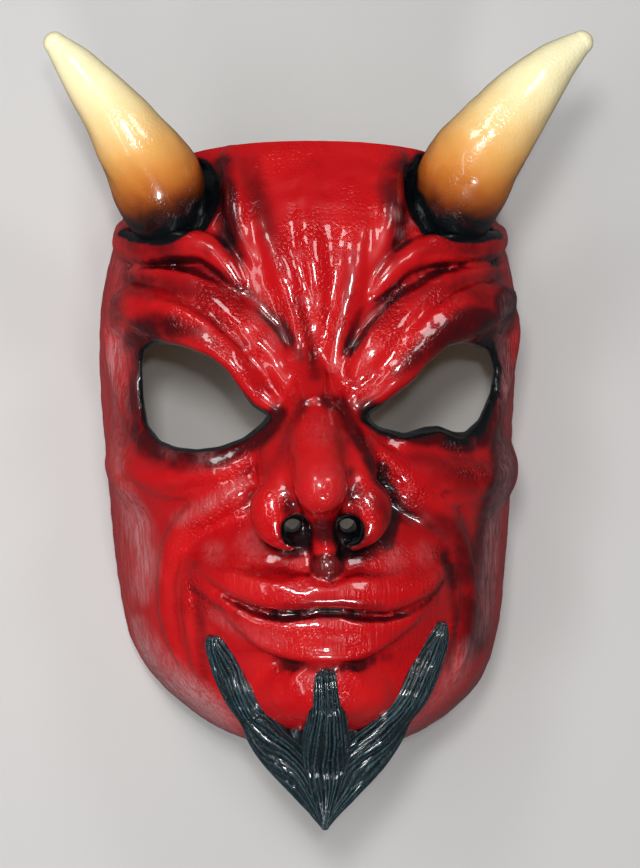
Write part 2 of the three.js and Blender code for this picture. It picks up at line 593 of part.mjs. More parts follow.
// Keeps what is above the rim plane and below the slanting cut across the top of the forehead
function trimBlock() {
  const [z0, z1] = TOP_SLOPE_Z;
  const outline = [[0, -170], [0, TOP_SIDE_Y], [z0, TOP_SIDE_Y], [z1, TOP_EDGE_Y], [150, TOP_EDGE_Y], [150, -170]];
  const shape = new THREE.Shape(outline.map(([z, y]) => new THREE.Vector2(z, y)));
  const geometry = new THREE.ExtrudeGeometry(shape, { depth: 240, bevelEnabled: false, steps: 1 });
  geometry.rotateY(-Math.PI / 2);
  geometry.translate(120, 0, 0);
  return solidOfGeometry(geometry);
}

// Opening for the neck, under the chin
function neckOpening() {
  const sides = 28;
  const ring = (y) => Array.from({ length: sides }, (_, j) => {
    const t = (2 * Math.PI * j) / sides;
    return [1 + NECK_HALF_WIDTH * Math.cos(t), y, NECK_HEIGHT * Math.sin(t)];
  });
  const { vertices, faces } = loft([ring(NECK_FROM_Y), ring(-170)]);
  return solidOf(vertices, faces);
}

const outerColumns = spokeColumns(2.8, 4.8, 4);
const outerRows = spokeRows(92, 1);
const outer = spokeSolid(faceForm, outerColumns, outerRows);
const seat = spokeSolid((p) => faceForm(p) - SEAT_GAP, outerColumns, outerRows);
const cavity = spokeSolid(cavityForm, spokeColumns(5, 8, 3), spokeRows(100, 1.9));
const goatee = goateeBody();

let shell = solidOf(outer.vertices, outer.faces).add(solidOf(goatee.vertices, goatee.faces));
shell = shell.subtract(solidOf(cavity.vertices, cavity.faces));
shell = shell.subtract(neckOpening());
for (const outline of EYE_OUTLINES) shell = shell.subtract(eyePrism(outline));
for (const side of [-1, 1]) shell = shell.subtract(nostrilBore(side));
shell = shell.intersect(trimBlock());

const seatSolid = solidOf(seat.vertices, seat.faces);
const horns = HORN_LINES.map((line) => {
  const { vertices, faces } = hornBody(line);
  return solidOf(vertices, faces).subtract(seatSolid);
});

const mask = new THREE.Group();
const red = new THREE.MeshStandardMaterial({ color: 0xa50f14, roughness: 0.28, metalness: 0 });
const ivory = new THREE.MeshStandardMaterial({ color: 0xd9a45a, roughness: 0.3, metalness: 0 });

function addPiece(name, solid, material) {
  const mesh = new THREE.Mesh(geometryOf(solid), material);
  mesh.name = name;
  mask.add(mesh);
}

addPiece('face_shell', shell, red);
addPiece('horn_left', horns[0], ivory);
addPiece('horn_right', horns[1], ivory);

export default mask;
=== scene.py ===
"""Krampus devil mask: fine relief, paint and studio for a thin cast latex face with two cast horns.

Shapes are worked out in millimetres in the face's own frame, with y = 0 at the eye line and x = 0 between the
eyes, and turned into metres in the shared frame when a mesh is made.
"""
import logging
import math
from dataclasses import dataclass, field
from enum import Enum
from itertools import combinations, product
from typing import Callable, Iterable, Sequence

import bpy
import numpy as np
from mathutils import Matrix


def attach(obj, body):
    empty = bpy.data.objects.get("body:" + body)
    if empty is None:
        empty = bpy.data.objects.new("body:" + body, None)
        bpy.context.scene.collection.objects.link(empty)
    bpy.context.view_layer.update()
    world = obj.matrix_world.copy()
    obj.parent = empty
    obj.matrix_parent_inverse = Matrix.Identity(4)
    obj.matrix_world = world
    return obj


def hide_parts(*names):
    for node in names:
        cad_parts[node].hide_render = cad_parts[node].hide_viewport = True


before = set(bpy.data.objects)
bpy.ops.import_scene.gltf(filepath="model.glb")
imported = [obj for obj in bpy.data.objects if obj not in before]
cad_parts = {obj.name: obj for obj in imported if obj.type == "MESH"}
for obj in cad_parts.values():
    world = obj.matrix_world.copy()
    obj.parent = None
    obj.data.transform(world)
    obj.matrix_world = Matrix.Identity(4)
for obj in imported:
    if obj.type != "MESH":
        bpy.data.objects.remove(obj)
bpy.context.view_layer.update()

LOG = logging.getLogger("devil_mask")

Array = np.ndarray
Form = Callable[[Array], Array]
Run = Sequence[Sequence[float]]
Vector = tuple[float, float, float]
Span = tuple[float, float]
Box = tuple[Vector, Vector]
Colour = tuple[float, ...]
Body = bpy.types.Object
Mesh = bpy.types.Mesh
Material = bpy.types.Material
NodeTree = bpy.types.NodeTree
Socket = bpy.types.NodeSocket
Sockets = bpy.types.bpy_prop_collection
Value = Socket | float
Inputs = dict[str | int, object]

MILLIMETRE = 0.001
FACE_ORIGIN = np.array((-1.0, 13.2, 0.0))
# Distance, in millimetres, that stands for nothing near
FAR_AWAY = 99.0
# Distance that stands for deep in or far out of a form
FAR_OFF = 1000.0
# Points between two stations of a brush stroke
STROKE_STEPS = 5


class Side(Enum):
    """The viewer's left and right side of the mask."""

    LEFT = -1
    RIGHT = 1


class Coat(Enum):
    """Material slots of the cast face, in mesh order."""

    RED = 0
    GOATEE = 1
    BARE = 2


def soft_min(a: Array, b: Array, blend: float) -> Array:
    """Join two forms, given as distances, with a rounded valley as wide as blend."""
    near = np.maximum(blend - np.abs(a - b), 0.0) / blend
    return np.minimum(a, b) - near * near * blend * 0.25


def soft_max(a: Array, b: Array, blend: float) -> Array:
    """Keep what two forms, given as distances, share, with a rounded edge as wide as blend."""
    return -soft_min(-a, -b, blend)


def smooth_run(stations: Run, steps: int) -> Array:
    """Lay a smooth curve through stations.

    Args:
        stations: Rows of numbers, one row per station.
        steps: Points to make between two stations.

    Returns:
        The rows of the finer curve.
    """
    rows = np.array(stations, float)
    last = len(rows) - 1
    if last < 2:
        return rows
    out = []
    for i in range(last):
        a, b, c, d = rows[max(i - 1, 0)], rows[i], rows[i + 1], rows[min(i + 2, last)]
        for t in np.arange(steps) / steps:
            out.append(0.5 * (2 * b + (c - a) * t + (2 * a - 5 * b + 4 * c - d) * t * t
                              + (3 * b - a - 3 * c + d) * t ** 3))
    return np.array(out + [rows[last]])


def smooth_table(table: Run, column: int, at: Array) -> Array:
    """Read a table of sizes with a smooth curve between its rows.

    Args:
        table: Rows whose first number rises.
        column: Which number of a row to read.
        at: Places to read the table at.

    Returns:
        The sizes there.
    """
    rows = np.array(table, float)
    x, v = rows[:, 0], rows[:, column]
    slope = np.gradient(v, x)
    at = np.clip(at, x[0], x[-1] - 1e-6)
    i = np.clip(np.searchsorted(x, at, side="right") - 1, 0, len(x) - 2)
    h = x[i + 1] - x[i]
    t = (at - x[i]) / h
    return ((2 * t ** 3 - 3 * t ** 2 + 1) * v[i] + (t ** 3 - 2 * t ** 2 + t) * h * slope[i]
            + (3 * t ** 2 - 2 * t ** 3) * v[i + 1] + (t ** 3 - t ** 2) * h * slope[i + 1])


def eased(value: Array, low: float, high: float) -> Array:
    """Turn a value into a soft mask that is 0 at low and 1 at high."""
    t = np.clip((value - low) / (high - low), 0.0, 1.0)
    return t * t * (3 - 2 * t)


def faded(value: Array, low: float, high: float) -> Array:
    """Turn a value into a soft mask that is 1 at low and 0 at high."""
    return 1 - eased(value, low, high)


def linked(name: str, data: bpy.types.ID) -> Body:
    """Put a mesh, light or camera into the scene.

    Args:
        name: Name of the object.
        data: What it shows.

    Returns:
        The object.
    """
    made = bpy.data.objects.new(name, data)
    bpy.context.scene.collection.objects.link(made)
    return made


def way_to_line(points: Array, line: Run, closed: bool = False) -> Array:
    """Measure the way to a line drawn on the front view.

    Args:
        points: Places, of which x and y are used.
        line: Corners of the line.
        closed: True joins the last corner to the first.

    Returns:
        Distances, which are negative inside a closed line.
    """
    corners = np.array(line, float)
    following = np.roll(corners, -1, axis=0)
    if not closed:
        corners, following = corners[:-1], following[:-1]
    best = np.full(len(points), np.inf)
    inside = np.zeros(len(points), bool)
    x, y = points[:, 0], points[:, 1]
    for a, b in zip(corners, following):
        way = b - a
        t = np.clip(((x - a[0]) * way[0] + (y - a[1]) * way[1]) / (way @ way), 0, 1)
        best = np.minimum(best, np.hypot(x - a[0] - t * way[0], y - a[1] - t * way[1]))
        if closed and way[1]:
            crosses = (a[1] <= y) != (b[1] <= y)
            inside ^= crosses & (x < a[0] + (y - a[1]) / way[1] * way[0])
    return np.where(inside, -best, best)


@dataclass
class Roll:
    """A run of balls of changing size, joined to one soft roll.

    Attributes:
        stations: Rows of x, y, z and radius.
        blend: How softly it melts into what it lies on.
        steps: Points between two stations.
        balls: The finer run.
        low: Lowest corner of the box that it reaches.
        high: Highest corner of that box.
    """

    stations: Run
    blend: float
    steps: int = 6
    balls: Array = field(init=False)
    low: Array = field(init=False)
    high: Array = field(init=False)

    def __post_init__(self) -> None:
        """Work out the fine run and the box that it reaches."""
        self.balls = smooth_run(self.stations, self.steps)
        reach = self.balls[:, 3].max() + self.blend + 2.0
        self.low = self.balls[:, :3].min(0) - reach
        self.high = self.balls[:, :3].max(0) + reach

    def distance(self, points: Array) -> Array:
        """Measure the way to the roll, negative inside.

        Args:
            points: Rows of x, y and z.

        Returns:
            One distance per point.
        """
        best = np.full(len(points), np.inf)
        for a, b in zip(self.balls[:-1], self.balls[1:]):
            way = b[:3] - a[:3]
            length = max(float(np.linalg.norm(way)), 1e-6)
            q = points - a[:3]
            along = q @ way / length
            aside = np.sqrt(np.maximum((q * q).sum(1) - along * along, 0.0))
            taper = float(np.clip((a[3] - b[3]) / length, -0.95, 0.95))
            t = np.clip((along - aside * taper / math.sqrt(1 - taper * taper)) / length, 0, 1)
            gap = np.hypot(along - t * length, aside) - (a[3] + t * (b[3] - a[3]))
            np.minimum(best, gap, out=best)
        return best


@dataclass
class Mass:
    """A rounded mass: an ellipsoid, turned about the Z axis.

    Attributes:
        centre: Its middle.
        radii: Half its size each way.
        blend: How softly it melts into its neighbours.
        turn: Turn about Z, in degrees.
        low: Lowest corner of the box that it reaches.
        high: Highest corner of that box.
    """

    centre: Sequence[float]
    radii: Sequence[float]
    blend: float
    turn: float = 0.0
    low: Array = field(init=False)
    high: Array = field(init=False)

    def __post_init__(self) -> None:
        """Work out the box that the mass reaches."""
        reach = max(self.radii) + self.blend + 2.0
        self.low = np.array(self.centre, float) - reach
        self.high = np.array(self.centre, float) + reach

    def distance(self, points: Array) -> Array:
        """Measure the way to the mass, negative inside.

        Args:
            points: Rows of x, y and z.

        Returns:
            One distance per point.
        """
        q = points - np.array(self.centre, float)
        cos, sin = math.cos(math.radians(self.turn)), math.sin(math.radians(self.turn))
        turned = np.stack((q[:, 0] * cos + q[:, 1] * sin, q[:, 1] * cos - q[:, 0] * sin, q[:, 2]), 1)
        radii = np.array(self.radii, float)
        scaled = turned / radii
        k0 = np.sqrt((scaled * scaled).sum(1)) + 1e-9
        k1 = np.sqrt(((scaled / radii) ** 2).sum(1)) + 1e-9
        return k0 * (k0 - 1) / k1


def melted(values: Array, points: Array, parts: Iterable[Roll | Mass], dig: bool = False) -> Array:
    """Melt parts onto a form, or dig them out of it.

    Args:
        values: Distances to the form, changed in place.
        points: Where they were measured.
        parts: The rolls and masses.
        dig: True takes them away.

    Returns:
        The changed distances.
    """
    for part in parts:
        near = ((points >= part.low) & (points <= part.high)).all(1)
        if near.any():
            way = part.distance(points[near])
            here = values[near]
            values[near] = soft_max(here, -way, part.blend) if dig else soft_min(here, way, part.blend)
    return values


@dataclass(frozen=True)
class Fold:
    """A fold of skin to lay on the form.

    Attributes:
        stations: Rows of x, y, half width and height, and z where it lies on the side of the face.
        blend: How softly it melts into the skin.
    """

    stations: Run
    blend: float


# Height on the face, half width of the shell and its depth there
SHELL_SECTIONS = (
    (-150, 4, 20), (-134, 9, 34), (-129, 22, 50), (-124, 34, 62), (-118, 45, 74), (-110, 55, 84),
    (-102, 62, 90), (-92, 67, 94), (-80, 70, 96), (-65, 72, 96), (-45, 74, 94), (-25, 75.5, 92),
    (0, 77.5, 90), (20, 78, 91), (36, 77, 92), (50, 74, 90.5), (62, 70.5, 87), (75, 65.5, 81),
    (90, 58, 73), (112, 46, 60),
)
# Height and sideways shift: the jaw sits a little to the right
SHELL_SHIFT = ((-150, 5.5), (-110, 4.5), (-90, 2.0), (-60, 1.0), (0, 0.4), (112, 0.8))

FOLDS = (
    # rims below the horn recesses
    Fold(((-72, 60, 2.4, 1.6, 30), (-69, 54.5, 3.8, 4, 45), (-62, 50.2, 4.8, 6.6), (-54, 47.8, 5, 7.4),
          (-44, 48.4, 5, 6.6), (-36, 47.2, 4.4, 5), (-30, 41.4, 3.6, 3), (-26, 35, 2, 1.4)), 1.6),
    Fold(((19, 32, 2, 1.4), (23, 36.8, 3.5, 3), (28, 42, 4, 4.4), (35, 46, 4.6, 5.4), (46, 47.8, 5, 6.8),
          (57, 49.8, 4.9, 7), (66, 53, 4, 4.4, 52), (73, 58.5, 2.6, 2, 32)), 1.6),
    # upper frown folds
    Fold(((-66, 41, 2, 1.4), (-59, 39.5, 3.4, 2.6), (-48, 37, 4.8, 3.8), (-38, 32, 6.4, 4.6), (-28.5, 25,
          7.2, 5), (-19.5, 16.5, 7.2, 5.2), (-13, 8, 5.8, 4.8), (-9.5, 0.5, 4, 3)), 2),
    Fold(((68, 43.5, 2, 1.4), (61, 41.5, 3, 2.4), (52, 38.8, 4, 3.2), (42, 34.5, 5.4, 4.2), (33, 27.5, 6.6,
          4.8), (24, 18.5, 7, 5.2), (16.5, 9.8, 6.2, 5), (11, 1.5, 4.4, 3.4)), 2),
    # brows
    Fold(((-67, 31, 3.6, 2.6), (-60, 28.4, 7.2, 5), (-50, 23.5, 8.6, 6), (-42, 18.8, 8.2, 6), (-34, 12.6,
          7.2, 6), (-26.5, 5.6, 6, 5.6), (-19.5, -1, 5, 5), (-13.5, -6, 3.6, 3.4)), 2),
    Fold(((68, 33, 3.6, 2.6), (61, 30.4, 7.2, 5), (51, 25.5, 8.6, 6), (43, 20.6, 8.2, 6), (35, 14.4, 7.2,
          6), (27.5, 7, 6, 5.6), (20.5, 0.2, 5, 5), (14.5, -5, 3.6, 3.4)), 2),
    # outer turns of the brows
    Fold(((-62, 32, 5, 3.6), (-67.5, 23, 5.4, 4, 46), (-68.5, 10, 5, 3.4, 48), (-65.5, -2, 4.4, 2.8),
          (-61.5, -12, 3.4, 1.8), (-57, -19, 2, 1.2)), 3),
    Fold(((63, 33, 5, 3.6), (68.5, 24, 5.4, 4, 46), (69.5, 11, 5, 3.4, 48), (66.5, -1, 4.4, 2.8), (62.5,
          -11, 3.4, 1.8), (58, -18, 2, 1.2)), 3),
    # forehead folds
    Fold(((-20, 66, 1.6, 0.5), (-18, 55, 3.6, 1.6), (-13, 43, 4, 2.2), (-9.5, 33, 4, 2.6), (-6.8, 24, 3.6,
          2.8), (-5.2, 14, 3.4, 3.4), (-5, 4, 3, 3), (-4.6, -2, 1.6, 1.2)), 3),
    Fold(((-1, 74, 1.6, 0.5), (-2.4, 62, 3.4, 1), (-2.4, 50, 4, 1.8), (-0.8, 39.7, 4, 2.2), (0.1, 29.8, 3,
          1.8), (0.2, 20, 2, 1.6), (0.5, 10, 2, 1.6), (0.6, 2, 2, 1.6), (0.6, -4, 1.4, 1)), 2.4),
    Fold(((18, 64, 1.6, 0.5), (14, 52, 3.6, 1.6), (13, 42, 4, 2.2), (11.5, 33, 4, 2.6), (8.4, 22, 3.6, 2.8),
          (6.4, 13, 3.4, 3.4), (6.2, 4, 3, 3), (6, -2, 1.6, 1.2)), 3),
    # folds on the inner side of each horn
    Fold(((-29, 81, 2.4, 1.6), (-27.6, 73, 4, 3.8), (-26.8, 65, 4.2, 4.8), (-26.2, 58, 4, 4.4), (-24.4, 50,
          3, 2.6), (-21, 43, 1.4, 0.8)), 2.2),
    Fold(((28.5, 80, 2.6, 1.8), (25.8, 72, 4.6, 3.8), (24.8, 63, 5, 4.6), (23.6, 54, 4.4, 4), (21, 46, 3,
          2), (18.5, 41, 1.4, 0.8)), 2.5),
    # cheek ridges
    Fold(((-64, -25.5, 2, 0.8), (-60, -27.6, 3.4, 2.2), (-54, -29.3, 4.4, 3), (-46.7, -28.8, 4.6, 3), (-38,
          -27.2, 4.4, 2.8), (-29, -26.2, 4, 2.4), (-22, -21.5, 2.6, 1.6)), 3),
    Fold(((66, -27.5, 2, 0.8), (61, -29.4, 3.4, 2.2), (56, -30.3, 4.4, 3), (47.7, -29.8, 4.6, 3), (38, -28,
          4.4, 2.8), (29, -26.6, 4, 2.4), (22, -21.5, 2.6, 1.6)), 3),
    # folds from the nose round the mouth
    Fold(((-21, -31, 2.4, 1.6), (-28, -35, 4.6, 3.8), (-36, -40, 5.6, 4.6), (-43, -46.5, 5.8, 4.4), (-48,
          -55, 5.6, 3.8), (-50, -66, 5, 3), (-49.5, -78, 4.2, 2.2), (-46, -90, 2.2, 1)), 2.5),
    Fold(((22, -30, 2.4, 1.6), (30, -35, 4.6, 3.8), (38, -41, 5.6, 4.6), (45, -48, 5.8, 4.4), (49.5, -57,
          5.6, 3.8), (52, -68, 5, 3), (52.5, -81, 4.2, 2.2), (50, -93, 2.2, 1)), 2.5),
    # crease beside the goatee
    Fold(((-43.5, -63, 1.6, 0.8), (-42.6, -70, 3, 2), (-41.5, -79, 3, 2.2), (-40.5, -89, 2.4, 1.4), (-39,
          -95, 1.4, 0.6)), 2),
    # chin pad
    Fold(((-12, -99, 4, 1.6), (-4, -97, 6, 2.8), (3, -96.4, 7, 3), (11, -97.4, 6, 2.8), (19, -100, 4, 1.6)),
          4),
    # lower lids
    Fold(((-61.5, 4, 1.6, 1), (-60, -6, 1.8, 1.4), (-57.5, -14, 2.2, 1.8), (-52, -20, 2.4, 2), (-45, -22.8,
          2.6, 2.2), (-38, -23.4, 2.6, 2.2), (-30, -21.6, 2.6, 2.2), (-23, -18, 2.4, 2), (-16, -12.4, 1.8,
          1.4)), 1.6),
    Fold(((17, -12.6, 1.8, 1.4), (22, -15.8, 2.4, 2), (29, -18, 2.6, 2.2), (36.6, -16.4, 2.6, 2.2), (42,
          -16, 2.6, 2.2), (49, -18.2, 2.6, 2.2), (55, -15, 2.4, 2), (59.5, -8, 2, 1.6), (62, 1, 1.6, 1.2)),
          1.6),
    # upper and lower lip
    Fold(((-45.5, -56.4, 1.2, 0.8), (-37.5, -59.8, 4, 3.4), (-28, -62.8, 5.4, 4.6), (-18.5, -65.4, 6, 5.2),
          (-8.5, -66.2, 6, 5.4), (1.5, -66.8, 5.4, 4.8), (11.5, -66.4, 6, 5.4), (20.5, -66.8, 6, 5.2), (30,
          -65.4, 5.4, 4.6), (38, -63.2, 4, 3.4), (45.5, -59.8, 1.2, 0.8)), 3.4),
    Fold(((-39, -63.6, 1.2, 0.8), (-29, -70.6, 3.2, 2.2), (-19, -76.2, 4.6, 3), (-9, -79, 5.6, 3.6), (1,
          -79.6, 6.2, 3.6), (11, -79.2, 5.8, 3.6), (20, -78, 4.8, 3), (29, -74.8, 3.4, 2.2), (39, -68, 1.2,
          0.8)), 2.2),
    Fold(((-28, -74, 1.2, 1), (-19, -80.4, 3, 3.2), (-9, -84, 3.8, 4.8), (1, -85, 4.2, 5.4), (11, -84.6, 4,
          4.8), (21, -81.4, 3, 3.2), (30, -76, 1.2, 1)), 2.6),
)
# Finer wrinkles, too small for the plain solid
FINE_FOLDS = (
    # border of the upper lip
    Fold(((-38, -58.4, 0.8, 0.3), (-32, -59.8, 1.2, 0.6), (-26.8, -59.8, 1.3, 0.7), (-20.6, -61.6, 1.3,
          0.8), (-12.6, -63.2, 1.3, 0.8), (-5.2, -61.2, 1.3, 0.8), (-1.4, -63.4, 1.2, 0.7), (2.3, -64.2,
          1.2, 0.7), (6.6, -63.2, 1.2, 0.7), (12.2, -61.4, 1.3, 0.8), (19.6, -61.8, 1.3, 0.8), (27, -60,
          1.2, 0.7), (35, -56.8, 0.8, 0.3)), 1.4),
    # double edge of the lower lip
    Fold(((-20, -82, 0.8, 0.4), (-12, -85, 1.4, 0.9), (-4, -86.4, 1.5, 1), (4, -86.8, 1.5, 1), (12, -86,
          1.4, 0.9), (22, -82.6, 0.8, 0.4)), 1.2),
    Fold(((-13, -81.6, 0.8, 0.4), (-5, -83, 1.3, 0.8), (5, -83.2, 1.3, 0.8), (14, -81.6, 0.8, 0.4)), 1.2),
    # raised edge over the middle of the beard
    Fold(((-9, -94.6, 0.8, 0.4), (-4, -91, 1.5, 1.1), (2.2, -89.8, 1.5, 1.2), (8.6, -91, 1.5, 1.1), (13.6,
          -94.8, 0.8, 0.4)), 1.4),
    # creases across the top of the nose
    Fold(((-7.4, -6, 0.8, 0.4), (-4, -4, 1.2, 0.9), (0, -3.2, 1.2, 1), (4, -4.2, 1.2, 0.9), (7, -6.6, 0.8,
          0.4)), 1),
    # thin folds under the left brow and along the right one
    Fold(((-55, 30, 0.8, 0.4), (-47, 27.4, 1.5, 1.1), (-40, 23.4, 1.6, 1.2), (-33, 18.4, 1.5, 1), (-27,
          12.6, 0.8, 0.4)), 1.2),
    Fold(((57, 36, 0.8, 0.4), (48, 31.6, 1.6, 1.1), (40, 26, 1.7, 1.2), (33, 19.6, 1.6, 1), (26, 12, 0.8,
          0.4)), 1.2),
    Fold(((30, 33.6, 0.8, 0.4), (24, 26.4, 1.6, 1.1), (18, 18.6, 1.6, 1.1), (13.6, 10.6, 0.8, 0.4)), 1.2),
    # wrinkles on the temples
    Fold(((-64, 42.6, 0.8, 0.3), (-58, 40.6, 1.4, 0.9), (-50, 39.4, 1.5, 1), (-42, 37.4, 1.4, 0.9), (-36,
          35, 0.8, 0.3)), 1),
    # folds that run down beside the mouth corners
    Fold(((46, -60, 0.8, 0.4), (47.2, -68, 1.6, 1.2), (46.4, -78, 1.6, 1.2), (44, -88, 0.8, 0.4)), 1.4),
    Fold(((-45, -58, 0.8, 0.4), (-45.6, -66, 1.5, 1), (-45, -76, 1.5, 1), (-43.6, -86, 0.8, 0.4)), 1.4),
    # ridge across the right cheek
    Fold(((17, -15, 0.8, 0.4), (22.4, -22, 1.8, 1.2), (28.8, -28.9, 2, 1.5), (36.4, -34.4, 2, 1.5), (44.4,
          -39.4, 1.8, 1.2), (50, -45, 0.8, 0.4)), 1.6),
    # cheek wrinkles under the eyes
    Fold(((-56, -33.6, 0.8, 0.3), (-48, -35, 1.5, 0.9), (-40, -34.2, 1.5, 0.9), (-33, -32.4, 0.8, 0.3)),
          1.4),
    Fold(((31, -33.2, 0.8, 0.3), (39, -36.4, 1.6, 1), (47, -37.4, 1.6, 1), (56, -36, 0.8, 0.3)), 1.4),
)
